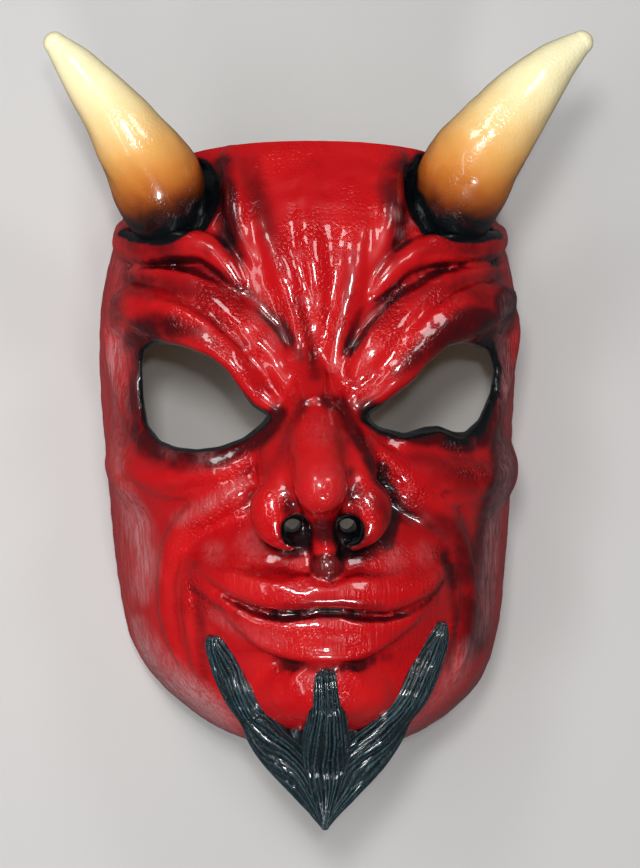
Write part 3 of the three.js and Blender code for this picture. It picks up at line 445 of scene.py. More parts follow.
# Airbrushed dark paint and painted shade in the creases, sockets and folds, and painted shade over the right
# side, which gets less light: x, y, half width and strength along each stroke, below 0 where painted shade is
# taken off
AIRBRUSH_AND_SHADE = (
    # beside the horn roots
    ((-30.5, 76.7, 3.3, 0.75), (-29.8, 67.8, 3.3, 0.85), (-29.8, 58.8, 3.6, 0.9), (-28.5, 50.2, 3.6, 0.8),
     (-25.2, 42.3, 3, 0.5)),
    ((-22.5, 76.7, 4, 0.3), (-19.9, 66.8, 4.3, 0.45), (-17.9, 58.1, 4, 0.45), (-15.3, 49.5, 3.3, 0.35),
     (-11.3, 40.3, 2.6, 0.25)),
    ((28.5, 76.7, 4.3, 0.4), (24.8, 67.8, 4.6, 0.55), (27.5, 56.2, 4.3, 0.6), (25.8, 47.6, 3.6, 0.4),
     (21.2, 39.6, 3.3, 0.3)),
    # under the recess lips and along the frown folds
    ((-66.2, 40.3, 3, 0.5), (-57.6, 35.6, 3, 0.45), (-49, 37, 2.6, 0.3), (-41.1, 40.3, 2.3, 0.2),
     (-33.8, 39.3, 2.6, 0.3), (-24.5, 33, 2.6, 0.45), (-16.6, 25.7, 2.6, 0.45), (-9.3, 17.1, 2.6, 0.45),
     (-5.3, 10.5, 2.6, 0.4)),
    ((64.2, 39.6, 4.3, 0.5), (57.6, 35, 5, 0.45), (38.4, 35.6, 4, 0.3), (28.5, 31, 3.3, 0.35),
     (19.8, 22.4, 3, 0.35), (9.9, 12.5, 2.6, 0.3)),
    ((-63.6, 33.6, 3, 0.35), (-48.4, 30.3, 3, 0.3), (-35.8, 24.4, 2.6, 0.3), (-24.5, 14.4, 2.6, 0.3)),
    ((-65.6, 47.6, 4, 0.3), (-51.7, 45.6, 4, 0.35), (-37.1, 46.2, 3.6, 0.3)),
    ((-63.6, 36.3, 5.3, 0.35), (-50, 34.3, 5, 0.4), (-36.8, 32.3, 4.3, 0.35), (-25.2, 27.7, 4, 0.3)),
    ((37.1, 45.6, 3.6, 0.25), (51, 46.2, 4.3, 0.35), (60.9, 46.2, 4.6, 0.4)),
    ((33.1, 32.3, 4.3, 0.3), (43.7, 33, 5.3, 0.35), (56.3, 32.3, 6, 0.45)),
    # eye sockets
    ((-64.3, 15.8, 4.6, 0.6), (-57.6, 19.1, 5.6, 0.9), (-49, 20.4, 4.6, 0.7), (-39.1, 17.8, 3.3, 0.45),
     (-31.2, 13.1, 2.6, 0.2), (-24.5, 6.5, 2.3, 0.15), (-18.6, -0.8, 2.3, 0.3)),
    ((-59.6, 13.1, 4.3, 0.85), (-61.6, -0.1, 4.3, 0.75), (-61, -11.7, 4.6, 0.75), (-55, -19.3, 4.6, 0.75),
     (-46.4, -22.3, 4.3, 0.75), (-36.4, -22.6, 4, 0.75), (-26.5, -19, 4, 0.8), (-17.9, -13.4, 4, 0.9),
     (-13.3, -8.1, 3, 0.9)),
    ((26.5, 5.8, 3, 0.5), (35.7, 13.1, 4, 0.65), (44.3, 19.1, 5, 0.85), (53, 22.4, 6, 0.9),
     (59.6, 19.7, 6.6, 0.95), (61.6, 9.8, 6, 1), (60.9, -3.4, 6, 1), (56.3, -14.7, 5, 1)),
    ((17.2, -7.4, 4, 1), (24.5, -13.4, 3.6, 0.85), (34.4, -15.4, 3.3, 0.8), (43, -16.7, 3.6, 0.95),
     (51.6, -17.3, 4, 1)),
    # beside the nose
    ((2, -4.1, 3, 0.6), (7.9, -6.1, 2.6, 0.75), (11.2, -12.7, 2.6, 0.8), (14.9, -20, 2.3, 0.85),
     (18.8, -28.3, 2.3, 0.9), (23.8, -33.9, 2, 1), (25.5, -41.9, 2, 1), (23.5, -50.5, 2, 0.75)),
    ((-5.3, -4.8, 2.6, 0.6), (-8.6, -11.7, 2.3, 0.35), (-12.6, -20, 3, 0.3), (-16.6, -27.9, 3, 0.35)),
    ((-8, -46.5, 4.6, 0.5), (1.3, -45.2, 4.3, 0.8), (11.2, -46.5, 5.3, 0.6)),
    ((9.6, -16.7, 1.7, 0.35), (10.2, -26.6, 1.7, 0.45)),
    ((16.5, -32.5, 2.6, 0.25), (19.5, -38.2, 4, 0.45), (21, -45, 4, 0.45)),
    # round the mouth
    ((-41.1, -57.1, 2.3, 0.6), (-43.1, -59.7, 2, 0.5)),
    ((-38.4, -71, 2.6, 0.4), (-38.4, -82.9, 2.3, 0.4), (-37.1, -96.2, 2.3, 0.3)),
    ((28.5, -37.9, 4, 0.3), (36.4, -42.5, 5.3, 0.4), (45, -47.2, 6.6, 0.5), (52.3, -57.1, 7.9, 0.6),
     (54.3, -70.3, 7.3, 0.6), (54.3, -86.9, 6.6, 0.55)),
    ((43.4, -55.8, 2.6, 0.75), (46.3, -66.4, 2.6, 0.6), (47.3, -79.6, 2.3, 0.5), (45, -93.5, 2.3, 0.4)),
    ((-13.3, -87.5, 1.7, 0.35), (-5.3, -89.9, 1.7, 0.6), (7.9, -90.5, 1.7, 0.65), (23.8, -88.2, 1.7, 0.4)),
    ((-10.6, -70.7, 2.3, 0.35), (4.6, -68.7, 2.3, 0.4), (19.2, -70.7, 2.3, 0.35)),
    ((-41.7, -65.7, 1.2, 0.5), (-33.8, -70.7, 1.2, 0.5), (-25.2, -73.6, 1.2, 0.4)),
    ((26.5, -74, 1.2, 0.4), (35.7, -70.3, 1.2, 0.5), (41.7, -63.7, 1.2, 0.5)),
    # temples, cheeks and the right side, with painted shade over the right side
    ((-68.2, 31, 4.6, 0.45), (-69.9, 13.1, 4, 0.5), (-68.2, -3.4, 4, 0.45), (-66.2, -15.4, 4.3, 0.5)),
    ((66.2, 29.7, 6.6, 1), (67.2, 3.2, 6.6, 1), (66.5, -16.7, 6.6, 0.9), (64.2, -36.6, 7.3, 0.9),
     (61.6, -59.7, 7.9, 0.85), (58.9, -86.2, 7.9, 0.65)),
    ((-63.3, -43.2, 7.9, 0.25), (-61, -63, 8.6, 0.3), (-58.3, -82.9, 8.6, 0.25)),
    ((33.1, -24, 6, 0.35), (46, -26.6, 7.9, 0.45), (59.2, -29.3, 6.6, 0.5)),
    ((34.4, -43.2, 6.6, 0.3), (43, -52.4, 6, 0.35)),
    # between the brows
    ((-6.6, 29.7, 2.3, 0.3), (-2.3, 16.4, 2.3, 0.4), (-0.7, 4.5, 2.6, 0.45)),
    ((11.9, 44.2, 2.6, 0.25), (10.2, 29.7, 2.3, 0.35), (6.6, 14.8, 2.3, 0.3)),
    ((48.3, 29.7, 3.3, 0.3), (55.6, 31, 4.6, 0.55)),
    # painted shade taken off again
    ((-19.2, -30.6, 2.6, -0.45), (-26.5, -37.5, 3, -0.6), (-34.1, -44.2, 3, -0.65), (-41.1, -52.4, 3, -0.6),
     (-45.1, -63, 3, -0.4), (-46.4, -73.6, 3, -0.2)),
    ((-21.9, -36.6, 2, -0.3), (-20.6, -44.5, 2, -0.35), (-16.6, -51.8, 2.3, -0.35),
     (-8.6, -55.4, 2.3, -0.25)),
    ((-33.8, -68.3, 2, -0.2), (-29.2, -71, 2, -0.2)),
    ((-64.9, 43.6, 1.7, -0.3), (-50, 42.3, 2, -0.35), (-39.8, 43.6, 2, -0.35)),
    ((37.7, 42.3, 2, -0.45), (47.7, 42.6, 2, -0.55), (57.6, 43.2, 2, -0.55)),
    ((-10, -92.2, 1.7, -0.15), (21.2, -92.2, 1.7, -0.15)),
    ((17.9, -15.7, 2, -0.2), (28.8, -28.9, 2.3, -0.35), (37.4, -34.6, 2.3, -0.35), (45.3, -40.5, 2, -0.25)),
    ((-61, -63, 5, -0.2), (-57, -92.2, 6.6, -0.45), (-43.7, -106.8, 7.3, -0.5), (-31.2, -115.4, 6.6, -0.4)),
)

# Places where the varnish has beaded: x, y, half width and strength
BEADED = (
    # brows
    ((-39.8, 33, 4, 0.8), (-31.2, 27.7, 5.3, 1), (-23.9, 21.1, 4.3, 1), (-17.9, 13.1, 3.3, 0.6)),
    ((37.1, 32.3, 3, 0.5), (29.1, 31, 4.3, 1), (26.5, 23.7, 4, 1), (22.5, 16.4, 3.3, 0.6)),
    # between the brows
    ((-15.9, 31, 2.6, 0.5), (-8, 23.7, 3.3, 1), (-6, 16.4, 3, 0.8), (-8.6, 5.8, 3.3, 0.9),
     (-10, -0.8, 2.3, 0.5)),
    ((2, 29.7, 2.6, 0.6), (4.6, 22.4, 3.6, 1), (7.3, 15.1, 3, 0.7), (11.9, 7.2, 3.3, 0.9),
     (11.9, -0.8, 3, 0.7)),
    ((11.9, 42.3, 3, 0.6), (13.2, 36.3, 2.6, 0.6)),
    # forehead
    ((-17.9, 57.8, 4.6, 0.12), (-5.3, 49.5, 7.3, 0.15), (9.6, 57.8, 7.3, 0.15)),
    # cheeks
    ((15.2, -18.7, 3, 0.7), (19.8, -26, 3.6, 0.8), (27.8, -29.9, 3, 0.5), (37.7, -36.6, 2.6, 0.5)),
    ((46.3, -20.7, 4, 0.6), (53.6, -26, 4, 0.8), (60.9, -22.6, 3.3, 0.6)),
    ((-23.2, -26, 3, 0.5), (-33.1, -36.6, 3.3, 0.5), (-41.7, -43.8, 3, 0.5)),
    ((-59, -26.6, 4, 0.4), (-48.4, -29.9, 4, 0.4)),
    # mouth corners
    ((-41.7, -64.4, 2, 0.9), (-42.4, -71.7, 2, 0.9)),
    ((30.4, -51.8, 3, 0.8), (39, -55.1, 3, 0.8), (35.7, -69.7, 2.3, 0.5)),
    ((-37.4, -68.3, 2.3, 0.5), (-36.1, -71.7, 2.3, 0.5)),
)

# Painted pink sheen and reflections, and places where the paint has gone milk-white: x, y, half width and
# strength
SHEEN_AND_MILKY = (
    # left side and jaw
    ((-68.2, 19.7, 3, 0.7), (-70.2, 3.2, 3.6, 0.8), (-69.6, -13.4, 3.6, 0.8), (-67.6, -26.6, 3, 0.5)),
    ((-66.2, -35.2, 4, 0.8), (-61.6, -46.5, 5, 1), (-58.3, -58.4, 4.6, 0.9), (-60.3, -69.7, 4, 0.6)),
    ((-62.3, -82.9, 4.6, 0.9), (-55, -96.2, 6.6, 1.6), (-43.7, -106.8, 7.3, 1.8),
     (-31.2, -115.4, 6.6, 1.5)),
    ((52, -90, 4.6, 0.5), (46.3, -99.8, 5, 0.7), (36, -110, 5, 0.7), (28, -117, 5, 0.6)),
    ((-62.3, 42.3, 2.3, 0.3), (-67.6, 33, 2.3, 0.5)),
    # right side
    ((65.9, 29.7, 3, 0.65), (68.2, 9.8, 3.6, 0.75), (69.2, -10.1, 4, 0.7), (67.6, -26.6, 4.3, 0.65),
     (65.2, -43.2, 4.6, 0.65), (62.6, -63, 4.6, 0.65), (59.9, -82.9, 4.6, 0.45)),
    # milk-white varnish and painted highlights on the front
    ((-19.9, 23.7, 3.3, 0.25), (-14.6, 16.4, 3.3, 0.28)),
    ((-33.8, -53.8, 3.3, 0.3), (-21.9, -51.1, 4, 0.38)),
    ((25.1, -55.1, 4, 0.26), (35.7, -53.8, 3.3, 0.3)),
    ((-46, -43.2, 2.3, 0.3), (-34.1, -36.6, 2.3, 0.36), (-25.2, -30.9, 2, 0.25)),
    ((-33.5, -73.6, 2.3, 0.22), (-25.2, -78.4, 2.6, 0.26), (-13.6, -81.5, 2.6, 0.2)),
    ((1, -14, 5, 0.1), (2, -30, 6, 0.12)),
    ((26.5, 58.1, 2, 0.5), (27.8, 52.2, 1.7, 0.5)),
    ((-6, 44.2, 1.7, 0.25), (-4, 29.7, 1.7, 0.25)),
    ((-48.4, -19.3, 3, 0.3), (-36.8, -20.7, 3, 0.35)),
)

# Corners of the line where the lips meet
MOUTH_LINE = (
    (-44.5, -56.9), (-36.7, -62.4), (-29.3, -67.7), (-20.2, -71.9), (-11.5, -73.6), (-5.4, -72.6),
    (1.1, -71.8), (7.9, -72), (14, -73.4), (22.1, -74), (29.6, -72.5), (35.8, -69.4), (40, -65.6),
    (44.5, -60.4),
)
# Corners of the eye holes
EYE_OUTLINES = {
    Side.LEFT: (
        (-59, 9.5), (-58.6, -2), (-57, -11.5), (-52.4, -16.9), (-46.7, -19.1), (-39.6, -19.8),
        (-32, -18.8), (-24.4, -16), (-19.3, -12), (-16.2, -8.8), (-21.3, -5.4), (-24.3, -1.4),
        (-29.5, 6.2), (-35.5, 10.9), (-44.6, 14.6), (-53.4, 16.4), (-58, 14),
    ),
    Side.RIGHT: (
        (17, -9), (21, -12.3), (29.6, -14.4), (36.8, -12.2), (41.6, -11.8), (47.6, -14), (51.6, -14),
        (57.4, -9.6), (62.4, 0), (64, 8), (61, 14.4), (51.4, 16.4), (44.4, 14.8), (38.4, 10.1), (35.7, 7),
        (33.6, 3.3), (28.6, -0.4), (22.2, -5.3),
    ),
}
# Horn centre lines and radii; the right horn is the fuller of the two
HORN_LINES = {
    Side.LEFT: (
        (-49, 59.5, 58, 16.5), (-50.5, 63, 68, 17), (-53, 69.5, 76, 16.6), (-57, 76.7, 81.5, 14.9),
        (-61.6, 83.2, 85, 13.1), (-67.3, 91.3, 87, 10.9), (-77.9, 104.7, 88, 7.6), (-83.2, 110.8, 88, 5.4),
        (-86.2, 114, 88, 4),
    ),
    Side.RIGHT: (
        (46.5, 59, 58, 16.2), (48, 62.5, 68, 16.8), (50, 70, 76, 16.8), (53.6, 77.4, 81.5, 16),
        (59.4, 85.2, 85, 14.3), (66.4, 94.3, 87, 12.3), (72.4, 101.2, 88, 10.4), (79.1, 108.4, 88, 8),
        (85.3, 113.6, 88, 5.5), (88.4, 115.9, 88, 4.2),
    ),
}


def both_sides(make: Callable[[int], Roll | Mass]) -> list[Roll | Mass]:
    """Make a part on each side of the face."""
    return [make(side.value) for side in Side]


@dataclass
class FaceClay:
    """The face modelled as clay: distances to its forms, negative inside, in millimetres.

    Attributes:
        wall: Thickness of the cast shell.
        chin_underside: Height of the underside of the chin.
        section_power: Power of the superellipse sections of the shell.
        recess_gap: Room between a horn and the wall of its recess.
        recess_depth: Depth of the recess.
        lip_bared: How far above the recess lip's line the recess starts.
        mouth_depth: Depth of the line between the lips.
        mouth_spread: Its half width.
        mouth_heights: Heights between which it is pressed in.
        mouth_from_z: Depth from which it is pressed in.
        eye_rim_round: How round the rims of the eye holes are.
        eye_hole_from_z: Depth from which the eye holes are cut.
        skin_lump: Height of the unevenness of the skin.
        skin_lump_waves: Waves that make up the unevenness.
        skin_lump_pace: How fast they change.
        recess_reach: How far from a horn its recess is still measured.
        sight: Distances from the middle between which the skin is looked for.
        sight_steps: Places looked at between them.
        halvings: Times that the place found is then narrowed down.
    """

    wall: float = 3.0
    chin_underside: float = -129.0
    section_power: float = 2.3
    recess_gap: float = 2.6
    recess_depth: float = 5.0
    lip_bared: float = 1.4
    mouth_depth: float = 2.2
    mouth_spread: float = 1.5
    mouth_heights: Span = (-80.0, -50.0)
    mouth_from_z: float = 60.0
    eye_rim_round: float = 2.4
    eye_hole_from_z: float = 40.0
    skin_lump: float = 0.14
    skin_lump_waves: int = 14
    skin_lump_pace: float = 0.62
    recess_reach: float = 6.0
    sight: Span = (145.0, 5.0)
    sight_steps: int = 141
    halvings: int = 10

    def __post_init__(self) -> None:
        """Set up the hollows and masses, then lay the folds on them."""
        self.hollows = (
            both_sides(lambda s: Mass((s * 39, -2, 100), (23, 13, 17), 8, -s * 14))
            + both_sides(lambda s: Mass((s * 85, 0, 42), (11, 26, 26), 10))
            + both_sides(lambda s: Mass((s * 72, -60, 76), (12, 28, 16), 12))
            + both_sides(lambda s: Mass((s * 35, 62, 102), (13, 22, 14), 10, s * 10))
        )
        self.masses = [
            Mass((1, -65, 79), (42, 25, 28), 11),
            Mass((3, -100, 80), (27, 14, 21), 9),
            Roll(((-62, -25, 44, 10), (-58, -27, 58, 11), (-49, -27, 70, 11), (-38, -27, 78, 11),
                  (-26, -27, 83, 10)), 9),
            Roll(((63, -27, 44, 10), (59, -28, 58, 11), (50, -29, 70, 11), (38, -28, 78, 11),
                  (26, -27, 83, 10)), 9),
            Roll(((-60, 27, 60, 8), (-48, 25, 74, 9), (-34, 17, 82, 9), (-22, 6, 86, 9)), 9),
            Roll(((61, 29, 60, 8), (49, 27, 74, 9), (35, 19, 82, 9), (22, 7, 86, 9)), 9),
            Roll(((-1.8, -2.4, 94.4, 7.2), (-2, -9, 101, 7.9), (-1.8, -16, 107.2, 8.1),
                  (-1.2, -22, 112.6, 8.2), (-0.4, -27.5, 117.4, 8.3), (0, -31.4, 120.4, 8.4)), 5),
        ] + both_sides(
            lambda s: Roll(((s * 6, -6, 86, 8), (s * 8.5, -16, 91.5, 9.5), (s * 9.5, -26, 99, 10),
                            (s * 9.5, -35, 103.5, 8.6)), 8)
        )
        self.nose_trim = both_sides(
            lambda s: Roll(((s * 12 + 0.6, -30.5, 106, 4.6), (s * 15.2 + 0.6, -37.5, 106.5, 7.4),
                            (s * 14.6 + 0.6, -43, 106, 7), (s * 11 + 0.6, -47.5, 106.6, 4.8)), 2.2)
        ) + [Roll(((0.4, -38, 113.6, 5.6), (1, -44, 108.6, 4.6), (2, -51, 105.4, 4.2)), 3)]
        self.nose_bead = Mass((2.6, -57.2, 106), (5.2, 5.2, 5.2), 1.2)
        self.nostril_bowls = both_sides(lambda s: Mass((s * 9 + 1, -45.4, 109), (4.3, 4.8, 9), 1.6))
        self.nostril_bores = both_sides(
            lambda s: Roll(((s * 9 + 0.6, -49.4, 122, 2.6), (s * 9 + 0.6, -39.6, 78, 2.6)), 0.8)
        )
        self.horns = {side: Roll(line, 1) for side, line in HORN_LINES.items()}
        self.folds = [Roll(self.laid(run.stations, self.under), run.blend) for run in FOLDS]
        self.recess_lips = self.folds[:2]
        self.lip_line = np.array(sorted(station[:2] for run in FOLDS[:2] for station in run.stations)).T
        self.folds += [Roll(self.laid(run.stations, self.folded), run.blend) for run in FINE_FOLDS]
        rng = np.random.default_rng(7)
        self.lump_ways = rng.normal(size=(self.skin_lump_waves, 3)) * self.skin_lump_pace
        self.lump_phases = rng.uniform(0, 2 * math.pi, self.skin_lump_waves)

    def shell(self, points: Array) -> Array:
        """Measure the plain shell, superellipse sections that shrink toward the jaw.

        Args:
            points: Rows of x, y and z.

        Returns:
            One distance per point.
        """
        y = points[:, 1]
        power = self.section_power
        width = smooth_table(SHELL_SECTIONS, 1, y)
        depth = smooth_table(SHELL_SECTIONS, 2, y)
        shift = np.interp(y, *np.array(SHELL_SHIFT, float).T)
        a = np.abs(points[:, 0] - shift) / width
        b = np.maximum(points[:, 2], 0.0) / depth
        s = a ** power + b ** power + 1e-9
        g = s ** (1 / power - 1)
        steep = np.hypot(g * a ** (power - 1) / width, g * b ** (power - 1) / depth)
        rises = [
            smooth_table(SHELL_SECTIONS, n, y + 1) - smooth_table(SHELL_SECTIONS, n, y - 1)
            for n in (1, 2)
        ]
        taper = np.maximum(*np.abs(rises)) / 2
        return (s ** (1 / power) - 1) / (steep + 1e-6) / np.sqrt(1 + taper * taper)

    def under(self, points: Array) -> Array:
        """Measure the form under the folds: the shell with its hollows and masses.

        Args:
            points: Rows of x, y and z.

        Returns:
            One distance per point.
        """
        values = melted(self.shell(points), points, self.hollows, dig=True)
        values = melted(values, points, self.masses)
        return soft_max(values, self.chin_underside - points[:, 1], 8)

    def folded(self, points: Array) -> Array:
        """Measure the form with the folds that are laid on it so far."""
        return melted(self.under(points), points, self.folds)

    def met(self, origins: Array, ways: Array, form: Form) -> tuple[Array, Array]:
        """Find where straight ways in from outside first meet a form.

        Args:
            origins: Rows of inner ends.
            ways: Rows of unit directions out of them.
            form: Distances to the form.

        Returns:
            The points met, and the outward directions there.
        """
        reach = np.linspace(*self.sight, self.sight_steps)
        along = origins[:, None] + ways[:, None] * reach[None, :, None]
        inside = form(along.reshape(-1, 3)).reshape(len(origins), -1) < 0
        first = np.maximum(inside.argmax(1), 1)
        far, near = reach[first - 1], reach[first]
        for _ in range(self.halvings):
            middle = (far + near) / 2
            is_in = form(origins + ways * middle[:, None]) < 0
            near, far = np.where(is_in, middle, near), np.where(is_in, far, middle)
        points = origins + ways * near[:, None]
        return points, self.outward(form, points, 0.5)

    @staticmethod
    def outward(form: Form, points: Array, step: float) -> Array:
        """Work out the direction straight out of a form.

        Args:
            form: Distances to the form.
            points: Where to work it out.
            step: How far apart the form is compared.

        Returns:
            Rows of unit directions.
        """
        ends = [(points + step * axis, points - step * axis) for axis in np.eye(3)]
        way = np.stack([form(ahead) - form(behind) for ahead, behind in ends], 1)
        return way / (np.linalg.norm(way, axis=1, keepdims=True) + 1e-9)

    def frames(self, stations: Run, form: Form) -> tuple[Array, Array]:
        """Find the skin points and outward directions under a fold's stations.

        Args:
            stations: Rows of x, y, half width and height, and z where it lies on the side.
            form: The form that it lies on.

        Returns:
            The points and the directions.
        """
        origins, ways = [], []
        for x, y, _, _, *z in stations:
            origins.append((0.0, y, 0.0) if z else (x, y, 0.0))
            side = math.hypot(x, z[0]) if z else 1.0
            ways.append((x / side, 0.0, z[0] / side) if z else (0.0, 0.0, 1.0))
        return self.met(np.array(origins, float), np.array(ways, float), form)

    def laid(self, stations: Run, form: Form) -> list[list[float]]:
        """Turn a fold's stations into balls that are sunk in the skin.

        Args:
            stations: Rows of x, y, half width and height, and z where it lies on the side.
            form: The form that it lies on.

        Returns:
            Rows of ball centre and radius.
        """
        balls = []
        for row, point, way in zip(stations, *self.frames(stations, form)):
            half, high = row[2], row[3]
            radius = (half * half + high * high) / (2 * high)
            balls.append([*(point - way * (radius - high)), radius])
        return balls

    def recess(self, points: Array, under: Array) -> Array:
        """Measure the recess dug round each horn root.

        Args:
            points: Rows of x, y and z.
            under: Distances to the under form there.

        Returns:
            Distances to the recess, large where no horn is near.
        """
        values = np.full(len(points), FAR_OFF)
        room = self.recess_reach
        for horn in self.horns.values():
            near = ((points >= horn.low - room) & (points <= horn.high + room)).all(1)
            values[near] = np.minimum(values[near], horn.distance(points[near]))
        dug = soft_max(values - self.recess_gap, -(under + self.recess_depth), 2.5)
        lip = np.interp(points[:, 0], *self.lip_line)
        return soft_max(dug, lip + self.lip_bared - points[:, 1], 1.5)

    def lumps(self, points: Array) -> Array:
        """Give the slight unevenness of hand-worked clay, in millimetres."""
        waves = np.sin(points @ self.lump_ways.T + self.lump_phases)
        return self.skin_lump * waves.sum(1) / math.sqrt(len(self.lump_phases))

    def skin(self, points: Array) -> Array:
        """Measure the outside of the face with all its folds, eye holes and nostrils.

        Args:
            points: Rows of x, y and z.

        Returns:
            One distance per point.
        """
        under = self.under(points)
        values = melted(under.copy(), points, self.folds)
        (low, high), y = self.mouth_heights, points[:, 1]
        mouth = (y < high) & (y > low) & (points[:, 2] > self.mouth_from_z)
        way = way_to_line(points[mouth], MOUTH_LINE)
        shallower = 1 - 0.55 * eased(np.abs(points[mouth, 0]), 16, 42)
        values[mouth] += self.mouth_depth * shallower * np.exp(-(way / self.mouth_spread) ** 2)
        values = melted(values, points, [*self.nose_trim, self.nose_bead])
        values = soft_max(values, -self.recess(points, under), 2)
        values = melted(values, points, self.recess_lips)
        values = melted(values, points, self.nostril_bowls, dig=True)
        values += self.lumps(points)
        return self.pierced(values, points)

    def pierced(self, values: Array, points: Array) -> Array:
        """Cut the eye holes and nostrils out of the face.

        Args:
            values: Distances to the face, changed in place.
            points: Where they were measured.

        Returns:
            The changed distances.
        """
        for side, outline in EYE_OUTLINES.items():
            near = ((points[:, 2] > self.eye_hole_from_z - 12) & (np.abs(points[:, 1]) < 34)
                    & (points[:, 0] * side.value > -4))
            spot = points[near]
            hole = np.maximum(way_to_line(spot, outline, True), self.eye_hole_from_z - spot[:, 2])
            values[near] = soft_max(values[near], -hole, self.eye_rim_round)
        return melted(values, points, self.nostril_bores, dig=True)

    def cavity(self, points: Array) -> Array:
        """Measure the hollow behind the face, one wall thickness in from the outside."""
        under = self.under(points)
        return soft_max(under + self.wall, self.wall - self.recess(points, under), 3)


@dataclass
class ClayGrid:
    """A grid of cells that turns a form into a mesh.

    Attributes:
        low: Lowest corner, in millimetres.
        high: Highest corner, in millimetres.
        step: Size of a cell.
        refine: Cells along a coarse block, which is measured in full only near the surface.
    """

    low: Sequence[float]
    high: Sequence[float]
    step: float
    refine: int = 4

    def values(self, form: Form) -> Array:
        """Measure the form on the grid, exactly only near its surface.

        Args:
            form: Distances to the form.

        Returns:
            A block of distances, one per grid point.
        """
        low = np.array(self.low, float)
        coarse_step = self.step * self.refine
        size = np.ceil((np.array(self.high) - low) / coarse_step).astype(int)
        places = np.stack(np.meshgrid(*[np.arange(n) for n in size], indexing="ij"), -1).reshape(-1, 3)
        middle = form(low + (places + 0.5) * coarse_step - self.step * 0.5)
        block = np.repeat(np.sign(middle) * FAR_OFF, self.refine ** 3).reshape(*size, *[self.refine] * 3)
        near = np.abs(middle) < coarse_step * 1.15 + 2.0
        inner = np.stack(np.meshgrid(*[np.arange(self.refine)] * 3, indexing="ij"), -1).reshape(-1, 3)
        points = places[near][:, None] * self.refine + inner[None]
        exact = form(low + points.reshape(-1, 3) * self.step)
        block.reshape(-1, self.refine ** 3)[near] = exact.reshape(-1, self.refine ** 3)
        return block.transpose(0, 3, 1, 4, 2, 5).reshape(*(size * self.refine))

    @staticmethod
    def untouched(values: Array, rounds: int = 40) -> Array:
        """Open the places where two parts of the surface would meet in a single edge.

        Args:
            values: The block of distances, changed in place.
            rounds: How often it is gone over at most.

        Returns:
            The block of distances.
        """
        found = 1
        while found and rounds:
            found, rounds = 0, rounds - 1
            for axis in range(3):
                turned = np.moveaxis(values, axis, 0)
                inside = turned < 0
                a, b = inside[:, :-1, :-1], inside[:, 1:, 1:]
                c, d = inside[:, :-1, 1:], inside[:, 1:, :-1]
                touching = np.argwhere((a == b) & (c == d) & (a != c))
                touching[:, 2] += np.where(a[tuple(touching.T)], 0, 1)
                turned[tuple(touching.T)] = 0.05
                found += len(touching)
        return values

    def mesh(self, form: Form) -> tuple[Array, Array]:
        """Make a closed mesh of four-sided faces round the form.

        Args:
            form: Distances to the form.

        Returns:
            Rows of corner places, and rows of four corner numbers.
        """
        values = self.untouched(self.values(form))
        inside = values < 0
        size = tuple(n - 1 for n in values.shape)
        corners = np.array(list(product((0, 1), repeat=3)))
        views = [tuple(slice(c, c + n) for c, n in zip(corner, size)) for corner in corners]
        total = sum(inside[view].astype(np.uint8) for view in views)
        cells = np.argwhere((total > 0) & (total < 8))
        number = np.full(size, -1, np.int32)
        number[tuple(cells.T)] = np.arange(len(cells))
        at = np.stack([values[view][tuple(cells.T)] for view in views], 1)
        place = np.zeros((len(cells), 3))
        count = np.zeros(len(cells))
        for i, j in combinations(range(len(corners)), 2):
            if np.abs(corners[i] - corners[j]).sum() != 1:
                continue
            crossed = (at[:, i] < 0) != (at[:, j] < 0)
            share = np.where(crossed, at[:, i] / np.where(crossed, at[:, i] - at[:, j], 1), 0)
            place += np.where(crossed[:, None], corners[i] + share[:, None] * (corners[j] - corners[i]), 0)
            count += crossed
        faces = []
        for axis in range(3):
            u, w = np.roll(np.eye(3, dtype=int), -axis, axis=0)[1:]
            here = np.moveaxis(inside, axis, 0)
            changes = np.moveaxis(here[:-1] != here[1:], 0, axis)
            edges = np.argwhere(changes)
            others = [n for n in range(3) if n != axis]
            fits = np.all([(edges[:, n] >= 1) & (edges[:, n] < size[n]) for n in others], axis=0)
            edges = edges[fits]
            quad = np.stack([number[tuple(e.T)] for e in (edges, edges - u, edges - u - w, edges - w)], 1)
            outward = inside[tuple(edges.T)]
            faces.append(np.where(outward[:, None], quad, quad[:, ::-1]))
        vertices = np.array(self.low) + (cells + place / count[:, None]) * self.step
        return vertices, np.concatenate(faces)


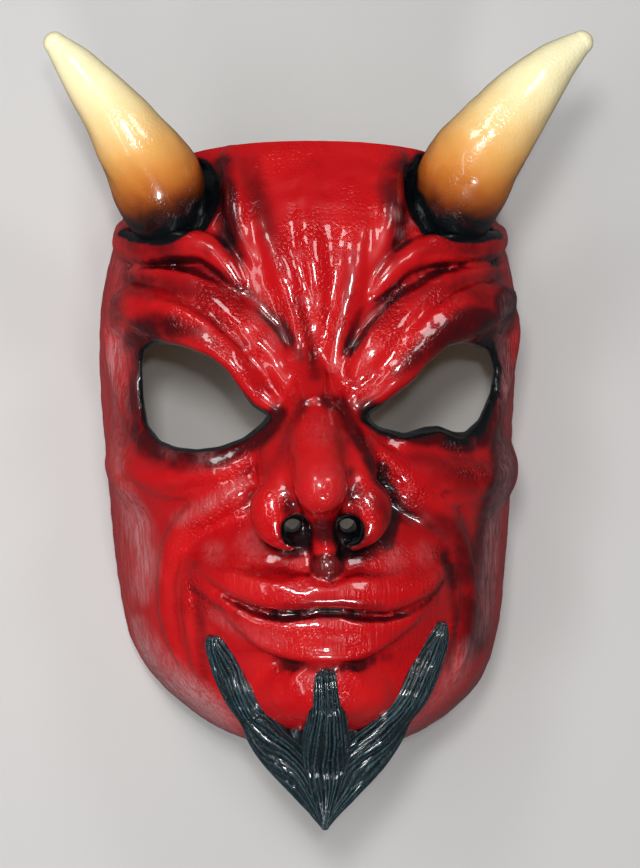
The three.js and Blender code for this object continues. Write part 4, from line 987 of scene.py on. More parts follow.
class MeshCraft:
    """Makes Blender meshes from clay measures and joins or cuts them."""

    @staticmethod
    def placed(
        name: str,
        vertices: Array,
        faces: Iterable[Sequence[int]],
        coat: int = 0,
        coats: Sequence[Material] = (),
    ) -> Body:
        """Make an object in the shared frame from places in the face's own frame.

        Args:
            name: Name of the object and its mesh.
            vertices: Rows of x, y and z in millimetres.
            faces: Corner numbers of each face.
            coat: Number of the material that its faces take.
            coats: Its materials.

        Returns:
            The new object.
        """
        mesh = bpy.data.meshes.new(name)
        places = ((vertices + FACE_ORIGIN) * MILLIMETRE).tolist()
        mesh.from_pydata(places, [], [list(map(int, face)) for face in faces])
        for material in coats:
            mesh.materials.append(material)
        mesh.polygons.foreach_set("material_index", np.full(len(mesh.polygons), coat, np.int32))
        mesh.update()
        return linked(name, mesh)

    @staticmethod
    def combined(base: Body, tool: Body, operation: str, keep_tool: bool = False) -> None:
        """Join a tool to a mesh, or cut the mesh with it.

        Args:
            base: The object that is changed.
            tool: The object that it is joined to or cut with.
            operation: UNION, DIFFERENCE or INTERSECT.
            keep_tool: False removes the tool afterwards.
        """
        modifier = base.modifiers.new("joint", "BOOLEAN")
        modifier.operation = operation
        modifier.object = tool
        modifier.solver = "MANIFOLD"
        bpy.context.view_layer.update()
        shown = base.evaluated_get(bpy.context.evaluated_depsgraph_get())
        old, base_mesh = base.data, bpy.data.meshes.new_from_object(shown)
        base.modifiers.clear()
        base.data = base_mesh
        bpy.data.meshes.remove(old)
        if not keep_tool:
            MeshCraft.removed(tool)

    @staticmethod
    def removed(made: Body) -> None:
        """Delete an object together with its mesh."""
        mesh = made.data
        bpy.data.objects.remove(made)
        bpy.data.meshes.remove(mesh)

    @staticmethod
    def read(mesh: Mesh, what: str) -> Array:
        """Read three numbers per vertex, such as its place or normal.

        Args:
            mesh: The mesh.
            what: Name of the numbers.

        Returns:
            One row per vertex.
        """
        flat = np.empty(len(mesh.vertices) * 3, np.float32)
        mesh.vertices.foreach_get(what, flat)
        return flat.reshape(-1, 3).astype(float)

    @staticmethod
    def places(mesh: Mesh) -> Array:
        """Read a mesh's vertices in the face's own frame, in millimetres."""
        return MeshCraft.read(mesh, "co") / MILLIMETRE - FACE_ORIGIN

    @staticmethod
    def painted(mesh: Mesh, name: str, values: Array) -> None:
        """Store one number per vertex under a name for a material to read."""
        layer = mesh.attributes.new(name, "FLOAT", "POINT")
        layer.data.foreach_set("value", values.astype(np.float32))

    @staticmethod
    def finished(made: Body, sharp_from: float, slot: str, nodes: Sequence[str]) -> None:
        """Shade a piece smooth, keep its crisp edges, and set it on the frame.

        Args:
            made: The piece.
            sharp_from: Angle in degrees from which an edge stays crisp.
            slot: Material slot in the record; not used.
            nodes: The CAD nodes that it stands for.
        """
        made.data.shade_smooth()
        made.data.set_sharp_from_angle(angle=math.radians(sharp_from))
        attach(made, "root")
        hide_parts(*nodes)
        LOG.info("%s: %d faces, %d vertices", made.name, len(made.data.polygons), len(made.data.vertices))

    @staticmethod
    def lofted(rings: Array) -> tuple[Array, list[tuple[int, ...]]]:
        """Skin a row of rings into a closed body.

        Args:
            rings: Places by ring and corner.

        Returns:
            Rows of corner places, and the faces.
        """
        count, sides = rings.shape[:2]
        spread = rings[count // 2] - rings[count // 2].mean(0)
        turning = np.cross(spread[0], spread[sides // 4]) @ (rings[-1].mean(0) - rings[0].mean(0))
        rings = rings[:, ::-1] if turning < 0 else rings
        last = (count - 1) * sides
        faces = []
        for start, corner in product(range(0, last, sides), range(sides)):
            following = (corner + 1) % sides
            ahead = start + sides
            faces.append((start + corner, start + following, ahead + following, ahead + corner))
        faces.append(tuple(reversed(range(sides))))
        faces.append(tuple(range(last, last + sides)))
        return rings.reshape(-1, 3), faces


@dataclass
class Lock:
    """One lock of the goatee: a flattened, combed body.

    Attributes:
        laid: Rows of x, y, half width and height where it lies on the chin.
        hanging: Rows of x, y, z, half width and half depth below the jaw.
        strands: Strands round the lock.
        seed: Start of its random numbers.
        strand_depth: How deep the comb marks are, in millimetres.
        front_sides: Corners round the front half of a ring.
        back_sides: Corners round the back half.
        rings_per_station: Rings between two rows.
        hang_way: Direction that the front of a hanging lock faces.
        section_power: How square its section is, 2 for round.
        fine_strands: Fine hairs per strand.
    """

    laid: Run
    hanging: Run
    strands: int
    seed: int
    strand_depth: float = 1.25
    front_sides: int = 92
    back_sides: int = 14
    rings_per_station: int = 6
    hang_way: Vector = (0.0, 0.12, 1.0)
    section_power: float = 2.4
    fine_strands: float = 2.37

    def spine(self, clay: FaceClay) -> Array:
        """Work out the middle, half sizes and front direction along the lock.

        Args:
            clay: The face that it lies on.

        Returns:
            Rows of x, y, z, half width, half depth and the front direction.
        """
        rows = []
        if self.laid:
            for (_, _, half, high), point, way in zip(self.laid, *clay.frames(self.laid, clay.under)):
                rows.append([*(point - way * 0.5 * high), half, 1.5 * high, *way])
        hung = np.array(self.hang_way)
        last_way = np.array(rows[-1][5:]) if rows else hung
        for number, (x, y, z, half, deep) in enumerate(self.hanging):
            kept = max(0.0, 1 - (number + 1) / 3)
            way = kept * last_way + (1 - kept) * hung
            rows.append([x, y, z, half, deep, *(way / np.linalg.norm(way))])
        return smooth_run(rows, self.rings_per_station)

    def body(self, clay: FaceClay) -> tuple[Array, list[tuple[int, ...]]]:
        """Make the lock with its comb marks.

        Args:
            clay: The face that it lies on.

        Returns:
            Rows of corner places, and the faces.
        """
        rows = self.spine(clay)
        middle, half, deep = rows[:, :3], rows[:, 3:4], rows[:, 4:5]
        along = np.gradient(middle, axis=0)
        along /= np.linalg.norm(along, axis=1, keepdims=True)
        front = rows[:, 5:] - (rows[:, 5:] * along).sum(1, keepdims=True) * along
        front /= np.linalg.norm(front, axis=1, keepdims=True)
        across = np.cross(along, front)
        turn = np.concatenate((np.linspace(0, math.pi, self.front_sides, endpoint=False),
                               np.linspace(math.pi, 2 * math.pi, self.back_sides, endpoint=False)))
        rng = np.random.default_rng(self.seed)
        share = np.linspace(0, 1, len(rows))[:, None]
        drift = sum(rng.uniform(0.03, 0.12) * np.sin(2 * math.pi * (share * f + rng.uniform()) + turn * g)
                    for f, g in ((0.8, 1), (1.7, 2), (3.1, 3)))
        phase = (turn[None] + drift) * self.strands / (2 * math.pi)
        heights = rng.uniform(0.45, 1.0, self.strands)
        ridge = np.abs(np.sin(math.pi * phase)) ** 0.55 * heights[np.floor(phase).astype(int) % self.strands]
        fine = np.abs(np.sin(math.pi * phase * self.fine_strands + 3 * share)) ** 0.8
        fade = np.clip(half / 4.5, 0.25, 1.0) * np.sin(math.pi * np.clip(share * 12, 0, 0.5))
        lift = self.strand_depth * fade * (ridge - 0.75 + 0.3 * fine)
        cos, sin = np.cos(turn)[None], np.sin(turn)[None]
        power = self.section_power
        squash = 1 / (np.abs(cos) ** power + np.abs(sin) ** power) ** (1 / power)
        side = (half * squash + lift) * cos
        out = (deep * squash + lift) * sin
        rings = middle[:, None] + across[:, None] * side[..., None] + front[:, None] * out[..., None]
        return MeshCraft.lofted(rings)


# The four locks of the goatee: behind, left, right and middle
GOATEE_LOCKS = (
    Lock(laid=(),
         hanging=((3, -108.5, 82.4, 16, 4.6), (3, -113, 81.4, 22, 5.2), (3.2, -119, 82, 20.4, 5.2),
                  (3.2, -125, 83.4, 15.6, 4.8), (3, -131, 85.2, 10.6, 4.2), (2.8, -137, 87.1, 6.2, 3.2),
                  (2.7, -142.2, 89, 2.9, 2), (2.7, -145.6, 90, 0.6, 0.6)),
         strands=21, seed=11),
    Lock(laid=((-34.4, -81, 2.4, 2), (-33.6, -83.6, 4.2, 3), (-31.6, -88.4, 5.2, 3.6), (-28.8, -95, 6.2, 4),
               (-24.8, -102.4, 7.2, 4.3), (-20.2, -109, 7.7, 4.4)),
         hanging=((-15.6, -115.2, 83, 7.7, 6), (-10.6, -122, 83.8, 7.3, 5.8), (-5.4, -129, 85.3, 6.1, 4.9),
                  (-1, -136, 87.2, 4.4, 3.6), (1.6, -142, 89.2, 2.1, 1.9), (2.5, -145.5, 90, 0.6, 0.6)),
         strands=12, seed=23),
    Lock(laid=((42.4, -77.2, 1.9, 1.6), (41.3, -80.4, 3.6, 2.8), (39.4, -86.4, 4.9, 3.5), (36.2, -94, 6, 4),
               (31.8, -102, 7, 4.3), (26.6, -108.8, 7.7, 4.4)),
         hanging=((21.4, -115, 83.2, 7.8, 6), (16.2, -122, 83.8, 7.5, 5.8), (11, -129, 85.3, 6.2, 4.9),
                  (6.4, -136, 87.2, 4.5, 3.6), (3.8, -142, 89.2, 2.1, 1.9), (2.9, -145.5, 90, 0.6, 0.6)),
         strands=12, seed=37),
    Lock(laid=(),
         hanging=((2.3, -91.8, 99.6, 2.2, 2), (2.4, -94.2, 101, 3.8, 3.4), (2.6, -100, 100.6, 4.8, 5),
                  (2.9, -105.4, 98.6, 6, 6), (3, -110.5, 95.2, 7, 7), (3.1, -115.5, 91.8, 7.6, 6.8),
                  (3.1, -121, 89.2, 7.6, 6.2), (3, -127, 88.2, 6.6, 5.4), (2.8, -133, 88.3, 5.2, 4.6),
                  (2.7, -139, 88.8, 3.4, 3.2), (2.7, -143.4, 89.6, 1.7, 1.6), (2.7, -145.7, 90, 0.6, 0.6)),
         strands=14, seed=53),
)


@dataclass
class FacePaint:
    """Where each paint, the painted shade and the painted sheen lie on the cast face, one number per vertex.

    Attributes:
        clay: The face as clay.
        mesh: Mesh of the cast face.
        shelters: How far out each measure of the painted shade in creases looks, its share, and from where it
            counts.
        airbrush_and_shade: Strength of the airbrushed dark paint and painted shade.
        front_z: Depths between which brush strokes fade in from the sides.
        sheen_and_milky_z: Depths between which the painted sheen and milk-white paint fade in.
        mouth_z: Depth from which the mouth counts.
        eye_rim: Least width of the black round the eye holes.
        wider_rims: How much wider it is under the left and the right eye.
        recess_edge: Where the black of the horn recesses starts and ends.
        side_edge: Sideways places between which the combed sides begin.
        side_slant: How much further out they begin on deeper parts.
        lip_heights: Heights between which the lips lie.
        lip_from_z: Depth from which they lie.
        lip_half_width: How far out they reach.
        points: Places of the vertices, in millimetres.
        under: Their distances to the form under the folds.
        recess: Their distances to the horn recesses.
        seam: Their distances to the line where the lips meet.
    """

    clay: FaceClay
    mesh: Mesh
    shelters: Run = ((1.6, 0.22, 0.15), (3.6, 0.34, 0.15), (7.0, 0.30, 0.2), (13.0, 0.26, 0.25))
    airbrush_and_shade: float = 0.95
    front_z: Span = (34.0, 68.0)
    sheen_and_milky_z: Span = (10.0, 52.0)
    mouth_z: float = 70.0
    eye_rim: float = 0.55
    wider_rims: Span = (0.8, 2.7)
    recess_edge: Span = (0.1, 1.9)
    side_edge: Span = (50.0, 66.0)
    side_slant: float = 0.28
    lip_heights: Span = (-86.0, -54.0)
    lip_from_z: float = 84.0
    lip_half_width: float = 40.0
    points: Array = field(init=False)
    under: Array = field(init=False)
    recess: Array = field(init=False)
    seam: Array = field(init=False)

    def __post_init__(self) -> None:
        """Measure the places that several paints need."""
        self.points = MeshCraft.places(self.mesh)
        self.under = self.clay.under(self.points)
        self.recess = self.clay.recess(self.points, self.under)
        in_front = self.points[:, 2] > self.mouth_z
        self.seam = np.where(in_front, way_to_line(self.points, MOUTH_LINE), FAR_AWAY)

    def brushed(self, strokes: Sequence[Run]) -> Array:
        """Work out how strongly brush strokes cover each point.

        Args:
            strokes: Runs of x, y, half width and strength.

        Returns:
            One strength per point, less where a stroke below 0 wipes it off.
        """
        x, y = self.points[:, 0], self.points[:, 1]
        laid, wiped = np.zeros(len(x)), np.zeros(len(x))
        for stroke in strokes:
            for stroke_x, stroke_y, half, strength in smooth_run(stroke, STROKE_STEPS):
                way = np.hypot(x - stroke_x, y - stroke_y)
                cover = strength * faded(way, 0.1 * half, 1.8 * half)
                laid, wiped = np.maximum(laid, cover), np.minimum(wiped, cover)
        return laid + wiped

    def crease(self) -> Array:
        """Work out the painted shade in the creases: how deep each point sits in one, from how near the skin
        in front of it is.

        Returns:
            One depth per point, up to about 1.
        """
        normals = MeshCraft.read(self.mesh, "normal")
        crease = np.zeros(len(self.points))
        for reach, share, start in self.shelters:
            shut = np.clip(1.0 - self.clay.skin(self.points + normals * reach) / reach, 0, 1.6)
            crease += share * eased(shut, start, 0.9)
        mouth_corner = eased(np.abs(self.points[:, 0]), 8.0, 34.0)
        return crease * (1 - 0.5 * faded(self.seam, 1.0, 6.0) * mouth_corner)

    def black(self) -> Array:
        """Work out where the black goes: eye rims, horn recesses, the bead below the nostrils, and as painted
        shade the line between the lips and the nostrils.

        Returns:
            One strength per point.
        """
        x, y, z = self.points.T
        uneven = np.clip(self.clay.lumps(self.points * 0.9) / self.clay.skin_lump, -1.2, 1.2)
        rims = np.full(len(x), FAR_AWAY)
        for outline in EYE_OUTLINES.values():
            rims = np.minimum(rims, np.abs(way_to_line(self.points, outline, True)))
        below = np.clip(eased(-y, -2.0, 10.0) + eased(np.abs(x), 52.0, 60.0), 0, 1)
        width = self.eye_rim + np.where(x > 0, *reversed(self.wider_rims)) * below + 0.3 * uneven
        in_front = z > self.clay.eye_hole_from_z
        black = (0.35 + 0.65 * below) * faded(rims, 0.35 * width, 1.3 * width) * in_front
        shallow = eased(self.under, -3.4, -0.6) * faded(np.abs(x), 31.0, 38.0)
        dug = faded(self.recess + 0.3 * uneven, *self.recess_edge)
        black = np.maximum(black, (1 - 0.55 * shallow) * dug)
        # painted shade: black in the line between the lips
        middling = faded(np.abs(x), 9.0, 24.0)
        lined = faded(self.seam, 0.0, 0.5 + 0.4 * middling)
        black = np.maximum(black, (0.22 + 0.45 * middling) * lined)
        # painted shade: black inside the nostrils
        lower = eased(-y, 37.0, 41.0)
        for bowl in self.clay.nostril_bowls:
            black = np.maximum(black, lower * faded(bowl.distance(self.points), -0.4, 0.9))
        bead = self.clay.nose_bead
        return np.maximum(black, 0.62 * faded(bead.distance(self.points), 0.1, 1.2))

    def applied(self) -> None:
        """Store every paint, the painted shade and the painted sheen on the mesh for the materials to read.
        """
        x, y, z = self.points.T
        front = eased(z, *self.front_z)
        # painted shade round the horn recesses
        recess_shade = 0.25 * faded(self.recess, 0.0, 6.0)
        # plus the strokes of airbrushed dark paint and painted shade, faded in toward the front
        crease = self.crease() + (recess_shade + self.airbrush_and_shade * self.brushed(AIRBRUSH_AND_SHADE) * front)
        side = eased(np.where(x > 0, x - 4, -x) - self.side_slant * (z - 40), *self.side_edge)
        # painted sheen, reflections and highlights, with milk-white varnish in places
        milky_and_sheen = self.brushed(SHEEN_AND_MILKY) * eased(z, *self.sheen_and_milky_z)
        low, high = self.lip_heights
        lips = (y < high) & (y > low) & (z > self.lip_from_z) & (np.abs(x) < self.lip_half_width)
        for name, values in {
            # painted shade in creases, recesses and folds, together with the airbrushed dark paint
            "crease": np.clip(crease, 0, 1.4),
            "beaded": np.clip(0.15 + self.brushed(BEADED) * front, 0, 1.1),
            "black": np.clip(self.black(), 0, 1),
            "side": side,
            # painted pink sheen on the combed sides, joined with the strokes of painted sheen and milk-white
            # varnish
            "sheen_and_milky": np.maximum(0.30 * side, milky_and_sheen),
            "lips": lips.astype(float),
        }.items():
            MeshCraft.painted(self.mesh, name, values)


@dataclass
class FaceShell:
    """The cast face: skin, wall, openings and the goatee that is cast with it.

    Attributes:
        clay: The face as clay.
        coats: Its materials, in the order of Coat.
        skin_step: Cell size of the outside, in millimetres.
        skin_box: Lowest and highest corner of the outside.
        skin_caps: Depth of its closed bottom and height of its closed top, both trimmed off later.
        hollow_step: Cell size of the inside.
        hollow_box: Lowest and highest corner of the hollow.
        hollow_caps: Depth of its bottom and height of its top, both past the outside.
        top_edge_y: Height of the forehead cut in the middle.
        top_side_y: Height of the cut at the sides.
        top_slope_z: Depths between which the cut slopes.
        neck_middle_x: Middle of the neck opening.
        neck_half_width: Half its width.
        neck_height: Its height over the rim.
        neck_from_y: How far up it reaches.
        neck_sides: Corners round it.
        jaw_cleared_y: Where the cutting bodies end, well below the jaw.
        trim_half_width: Half width of the trimming block.
        trim_depth: Its depth, well over the nose.
        crisp_angle: Angle in degrees from which an edge stays crisp.
    """

    clay: FaceClay
    coats: Sequence[Material]
    skin_step: float = 1.24
    skin_box: Box = ((-86.0, -140.0, -4.8), (87.0, 92.0, 132.0))
    skin_caps: Span = (-3.6, 89.5)
    hollow_step: float = 3.0
    hollow_box: Box = ((-86.0, -140.0, -13.0), (87.0, 106.0, 124.0))
    hollow_caps: Span = (-9.0, 99.0)
    top_edge_y: float = 84.5
    top_side_y: float = 78.5
    top_slope_z: Span = (36.0, 76.0)
    neck_middle_x: float = 1.0
    neck_half_width: float = 50.0
    neck_height: float = 46.0
    neck_from_y: float = -68.0
    neck_sides: int = 72
    jaw_cleared_y: float = -170.0
    trim_half_width: float = 120.0
    trim_depth: float = 150.0
    crisp_angle: float = 52.0

    def modelled(
        self, name: str, form: Form, box: Box, step: float, caps: Span, coat: Coat
    ) -> Body:
        """Model a form as a solid with closed ends.

        Args:
            name: Name of the solid.
            form: Distances to the form.
            box: Lowest and highest corner that it reaches.
            step: Cell size.
            caps: Depth of its bottom and height of its top.
            coat: The material that it takes.

        Returns:
            The solid.
        """
        bottom, top = caps

        def closed(points: Array) -> Array:
            """Measure the form with its ends closed."""
            return np.maximum(form(points), np.maximum(bottom - points[:, 2], points[:, 1] - top))

        return MeshCraft.placed(name, *ClayGrid(*box, step).mesh(closed), coat.value, self.coats)

    def neck(self) -> Body:
        """Make the round neck opening as a solid to take away.

        Returns:
            The opening.
        """
        turn = np.linspace(0, 2 * math.pi, self.neck_sides, endpoint=False)
        x = self.neck_middle_x + self.neck_half_width * np.cos(turn)
        z = self.neck_height * np.sin(turn)
        ends = (self.jaw_cleared_y, self.neck_from_y)
        rings = np.array([np.stack((x, np.full_like(turn, y), z), 1) for y in ends])
        return MeshCraft.placed("neck", *MeshCraft.lofted(rings), Coat.BARE.value, self.coats)

    def trim(self) -> Body:
        """Make the block that keeps what is above the rim and below the forehead cut.

        Returns:
            The block.
        """
        (z0, z1), y0, y1 = self.top_slope_z, self.top_side_y, self.top_edge_y
        low, deep = self.jaw_cleared_y, self.trim_depth
        outline = ((low, 0), (y0, 0), (y0, z0), (y1, z1), (y1, deep), (low, deep))
        half = self.trim_half_width
        rings = np.array([[(x, y, z) for y, z in outline] for x in (half, -half)])
        return MeshCraft.placed("trim", *MeshCraft.lofted(rings), Coat.BARE.value, self.coats)

    def build(self) -> tuple[Body, Body]:
        """Cast the face: join the goatee, then open the hollow, neck, rim and forehead.

        Returns:
            The face, and its closed outside, which the horns are cut by.
        """
        made = self.modelled("face_shell_cast", self.clay.skin, self.skin_box, self.skin_step,
                             self.skin_caps, Coat.RED)
        outside = linked("outside", made.data.copy())
        for number, lock in enumerate(GOATEE_LOCKS):
            body = MeshCraft.placed(f"lock_{number}", *lock.body(self.clay), Coat.GOATEE.value, self.coats)
            MeshCraft.combined(made, body, "UNION")
        hollow = self.modelled("hollow", self.clay.cavity, self.hollow_box, self.hollow_step,
                               self.hollow_caps, Coat.BARE)
        MeshCraft.combined(made, hollow, "DIFFERENCE")
        MeshCraft.combined(made, self.neck(), "DIFFERENCE")
        MeshCraft.combined(made, self.trim(), "INTERSECT")
        return made, outside

    def dress(self, made: Body) -> None:
        """Paint the face and set it on the frame."""
        FacePaint(self.clay, made.data).applied()
        MeshCraft.finished(made, self.crisp_angle, "red_latex", ["face_shell"])


@dataclass
class Horn:
    """One cast horn, bonded in its recess.

    Attributes:
        side: Which horn it is.
        clay: The face that it is set in.
        sides: Corners round the horn.
        steps: Rings between two stations.
        cap_bends: Bends of the round tip.
        slimmer: Share of the radius that the smooth horn keeps, so that it stays in the faceted one's reach.
        lump: Height of its unevenness, in millimetres.
        lump_stretch: Size of the face's lumps against those of the horn.
        lumpy_radius: Radius from which the unevenness is full.
        foot_waist: Share of its radius by which the foot draws in.
        waist_stations: Stations between which the foot widens again.
        paint_way: Direction up the horn in which its colours change; x is outward.
        crisp_angle: Angle in degrees from which an edge stays crisp.
    """

    side: Side
    clay: FaceClay
    sides: int = 84
    steps: int = 14
    cap_bends: int = 14
    slimmer: float = 0.975
    lump: float = 0.16
    lump_stretch: float = 0.55
    lumpy_radius: float = 14.0
    foot_waist: float = 0.13
    waist_stations: Span = (0.5, 2.4)
    paint_way: Vector = (0.30, 0.90, 0.32)
    crisp_angle: float = 60.0

    @property
    def name(self) -> str:
        """Give the horn's name."""
        return f"horn_{self.side.name.lower()}"

    def build(self, outside: Body, coat: Material) -> Body:
        """Sweep the horn along its line, round its tip and cut its foot to the face.

        Args:
            outside: The closed outside of the face.
            coat: The horn's material.

        Returns:
            The horn.
        """
        rows = smooth_run(HORN_LINES[self.side], self.steps)
        tip, way = rows[-1], rows[-1, :3] - rows[-2, :3]
        way /= np.linalg.norm(way)
        bends = np.linspace(0, 0.5 * math.pi, self.cap_bends)[1:-1]
        cap = [[*(tip[:3] + way * tip[3] * self.slimmer * math.sin(b)), tip[3] * math.cos(b)] for b in bends]
        rows = np.concatenate((rows, cap))
        along = np.gradient(rows[:, :3], axis=0)
        along /= np.linalg.norm(along, axis=1, keepdims=True)
        u = np.cross(np.array((0.0, 0.0, 1.0)), along)
        u /= np.linalg.norm(u, axis=1, keepdims=True)
        v = np.cross(along, u)
        turn = np.linspace(0, 2 * math.pi, self.sides, endpoint=False)
        out = u[:, None] * np.cos(turn)[None, :, None] + v[:, None] * np.sin(turn)[None, :, None]
        radius = np.broadcast_to((rows[:, 3] * self.slimmer)[:, None], out.shape[:2])
        waist = 1 - self.foot_waist * faded(np.arange(len(rows)) / self.steps, *self.waist_stations)
        rings = rows[:, None, :3] + out * (radius * waist[:, None])[..., None]
        unevenness = self.clay.lumps(rings.reshape(-1, 3) * self.lump_stretch).reshape(radius.shape)
        fade = np.clip(rows[:, 3] / self.lumpy_radius, 0.1, 1)[:, None]
        rings += out * ((unevenness / self.clay.skin_lump * self.lump - self.lump) * fade)[..., None]
        made = MeshCraft.placed(f"{self.name}_cast", *MeshCraft.lofted(rings), 0, [coat])
        MeshCraft.combined(made, outside, "DIFFERENCE", keep_tool=True)
        return made

    def dress(self, made: Body) -> None:
        """Store how far along the horn each point is, for its airbrushed colours.

        Args:
            made: The horn.
        """
        line = np.array(HORN_LINES[self.side], float)[:, :3]
        points = MeshCraft.places(made.data)
        way = np.array((self.side.value * self.paint_way[0], *self.paint_way[1:]))
        reach = (line[-1] - line[0]) @ way
        MeshCraft.painted(made.data, "along", np.clip((points - line[0]) @ way / reach, 0, 1))
        uneven = self.clay.lumps(points) * 5
        MeshCraft.painted(made.data, "foot", faded(self.clay.under(points) + uneven, 0.0, 7.0))
        MeshCraft.finished(made, self.crisp_angle, "horn_latex", [self.name])


class Graph:
    """A short way to write a node tree."""

    def __init__(self, tree: NodeTree) -> None:
        """Keep the tree that nodes are added to."""
        self.tree = tree

    def fill(self, node: bpy.types.Node, inputs: Inputs) -> None:
        """Set a node's inputs.

        Args:
            node: The node.
            inputs: Plain values or output sockets, by input name or number.
        """
        for name, value in inputs.items():
            if isinstance(value, Socket):
                self.tree.links.new(value, node.inputs[name])
            else:
                node.inputs[name].default_value = value

    def add(self, kind: str, inputs: Inputs | None = None, **settings: object) -> bpy.types.Node:
        """Add a node, set it and fill its inputs.

        Args:
            kind: Node type without its ShaderNode prefix.
            inputs: Plain values or output sockets, by input name or number.
            **settings: Properties of the node.

        Returns:
            The node.
        """
        node = self.tree.nodes.new(kind if kind.startswith("Node") else "ShaderNode" + kind)
        for name, value in settings.items():
            setattr(node, name, value)
        self.fill(node, inputs or {})
        return node

    def math(self, operation: str, a: Value, b: Value) -> Socket:
        """Add a math node and give its output."""
        return self.add("Math", {0: a, 1: b}, operation=operation).outputs[0]

    def times(self, a: Value, b: Value) -> Socket:
        """Multiply two numbers."""
        return self.math("MULTIPLY", a, b)

    def plus(self, a: Value, b: Value) -> Socket:
        """Add two numbers."""
        return self.math("ADD", a, b)

    def mixed(self, share: Value, a: Socket | Colour, b: Socket | Colour) -> Socket:
        """Mix two colours and give the result."""
        return self.add("Mix", {0: share, 6: a, 7: b}, data_type="RGBA").outputs[2]

    def ranged(
        self, value: Value, low: float, high: float, out_low: float = 0.0, out_high: float = 1.0
    ) -> Socket:
        """Ease a value from one range into another."""
        inputs = {0: value, 1: low, 2: high, 3: out_low, 4: out_high}
        return self.add("MapRange", inputs, interpolation_type="SMOOTHSTEP").outputs[0]

    def noise(self, where: Socket, scale: float, detail: float = 2.0, distortion: float = 0.0) -> Socket:
        """Add a noise texture and give its value."""
        inputs = {"Vector": where, "Scale": scale, "Detail": detail, "Distortion": distortion}
        return self.add("TexNoise", inputs).outputs[0]

    def stretched(self, where: Socket, by: Socket | Vector) -> Socket:
        """Stretch a position differently along each axis."""
        return self.add("VectorMath", {0: where, 1: by}, operation="MULTIPLY").outputs[0]

    def bump(self, height: Socket, strength: float, distance: float, over: Socket | None = None) -> Socket:
        """Raise a height on the surface, or on top of an earlier bump.

        Args:
            height: The height.
            strength: How strongly it shows.
            distance: How high a height of 1 is, in metres.
            over: Normal of the earlier bump.

        Returns:
            The normal of the raised surface.
        """
        inputs = {"Strength": strength, "Distance": distance, "Height": height}
        if over is not None:
            inputs["Normal"] = over
        return self.add("Bump", inputs).outputs[0]

    def position(self) -> Socket:
        """Read the position on the mask."""
        return self.add("TexCoord").outputs["Object"]

    def stored(self, name: str) -> Socket:
        """Read a number that is stored on the mesh."""
        return self.add("Attribute", attribute_name=name).outputs["Fac"]


def new_group(name: str, inputs: dict[str, str], outputs: Sequence[str]) -> tuple[Graph, Sockets]:
    """Start a node group.

    Args:
        name: Name of the group.
        inputs: Kind of each input, by name.
        outputs: Names of the outputs, which are all plain numbers.

    Returns:
        The group's graph, and what its inputs give inside it.
    """
    tree = bpy.data.node_groups.new(name, "ShaderNodeTree")
    for label, kind in inputs.items():
        tree.interface.new_socket(label, in_out="INPUT", socket_type="NodeSocket" + kind)
    for label in outputs:
        tree.interface.new_socket(label, in_out="OUTPUT", socket_type="NodeSocketFloat")
    graph = Graph(tree)
    return graph, graph.add("NodeGroupInput").outputs


def varnish_group() -> NodeTree:
    """Build the node group for poured gloss varnish, which settles in small round beads.

    Returns:
        The group, with the inputs Position and Bead Scale and the outputs Height and Patches.
    """
    inputs = {"Position": "Vector", "Bead Scale": "Float"}
    graph, given = new_group("beaded varnish", inputs, ("Height", "Patches"))
    where = given["Position"]
    cells = {"Vector": where, "Scale": given["Bead Scale"]}
    beads = graph.add("TexVoronoi", {**cells, "Smoothness": 0.35}, feature="SMOOTH_F1")
    seams = graph.add("TexVoronoi", cells, feature="DISTANCE_TO_EDGE")
    patches = graph.ranged(graph.noise(where, 62.0, 3.0, 0.4), 0.42, 0.62)
    flats = graph.times(graph.ranged(seams.outputs["Distance"], 0.0, 0.22), 0.55)
    domes = graph.math("SUBTRACT", flats, graph.times(beads.outputs["Distance"], 0.6))
    ripple = graph.times(graph.noise(where, 210.0), 0.35)
    height = graph.plus(graph.times(domes, graph.plus(patches, 0.06)), ripple)
    graph.add("NodeGroupOutput", {"Height": height, "Patches": patches})
    return graph.tree


def comb_group() -> NodeTree:
    """Build the node group for lengthwise brush and comb marks.

    Returns:
        The group, with the inputs Position and Stretch and the output Streaks.
    """
    graph, given = new_group("comb marks", {"Position": "Vector", "Stretch": "Vector"}, ("Streaks",))
    drawn = graph.stretched(given["Position"], given["Stretch"])
    coarse = graph.noise(drawn, 1.0, 3.0, 0.6)
    thin = graph.noise(drawn, 2.6, 2.0, 0.3)
    both = graph.plus(graph.times(coarse, 0.6), graph.times(thin, 0.4))
    graph.add("NodeGroupOutput", {"Streaks": graph.ranged(both, 0.38, 0.62)})
    return graph.tree


@dataclass(frozen=True)
class Effects:
    """The node groups that several finishes share.

    Attributes:
        varnish: Beads of poured gloss varnish.
        comb: Lengthwise brush and comb marks.
    """

    varnish: NodeTree
    comb: NodeTree

    def varnished(self, graph: Graph, where: Socket, bead_scale: float) -> Sockets:
        """Place the varnish in a material and give its outputs, Height and Patches."""
        inputs = {"Position": where, "Bead Scale": bead_scale}
        return graph.add("Group", inputs, node_tree=self.varnish).outputs

    def combed(self, graph: Graph, where: Socket, stretch: Vector) -> Socket:
        """Place the comb marks in a material and give their streaks."""
        inputs = {"Position": where, "Stretch": stretch}
        return graph.add("Group", inputs, node_tree=self.comb).outputs["Streaks"]


def new_material(name: str) -> tuple[Material, Graph, bpy.types.Node]:
    """Start a material with an empty tree, a Principled BSDF and an output.

    Args:
        name: Name of the material.

    Returns:
        The material, its graph and its Principled BSDF.
    """
    material = bpy.data.materials.new(name)
    material.use_nodes = True
    material.node_tree.nodes.clear()
    graph = Graph(material.node_tree)
    surface = graph.add("BsdfPrincipled")
    graph.add("OutputMaterial", {"Surface": surface.outputs[0]})
    return material, graph, surface


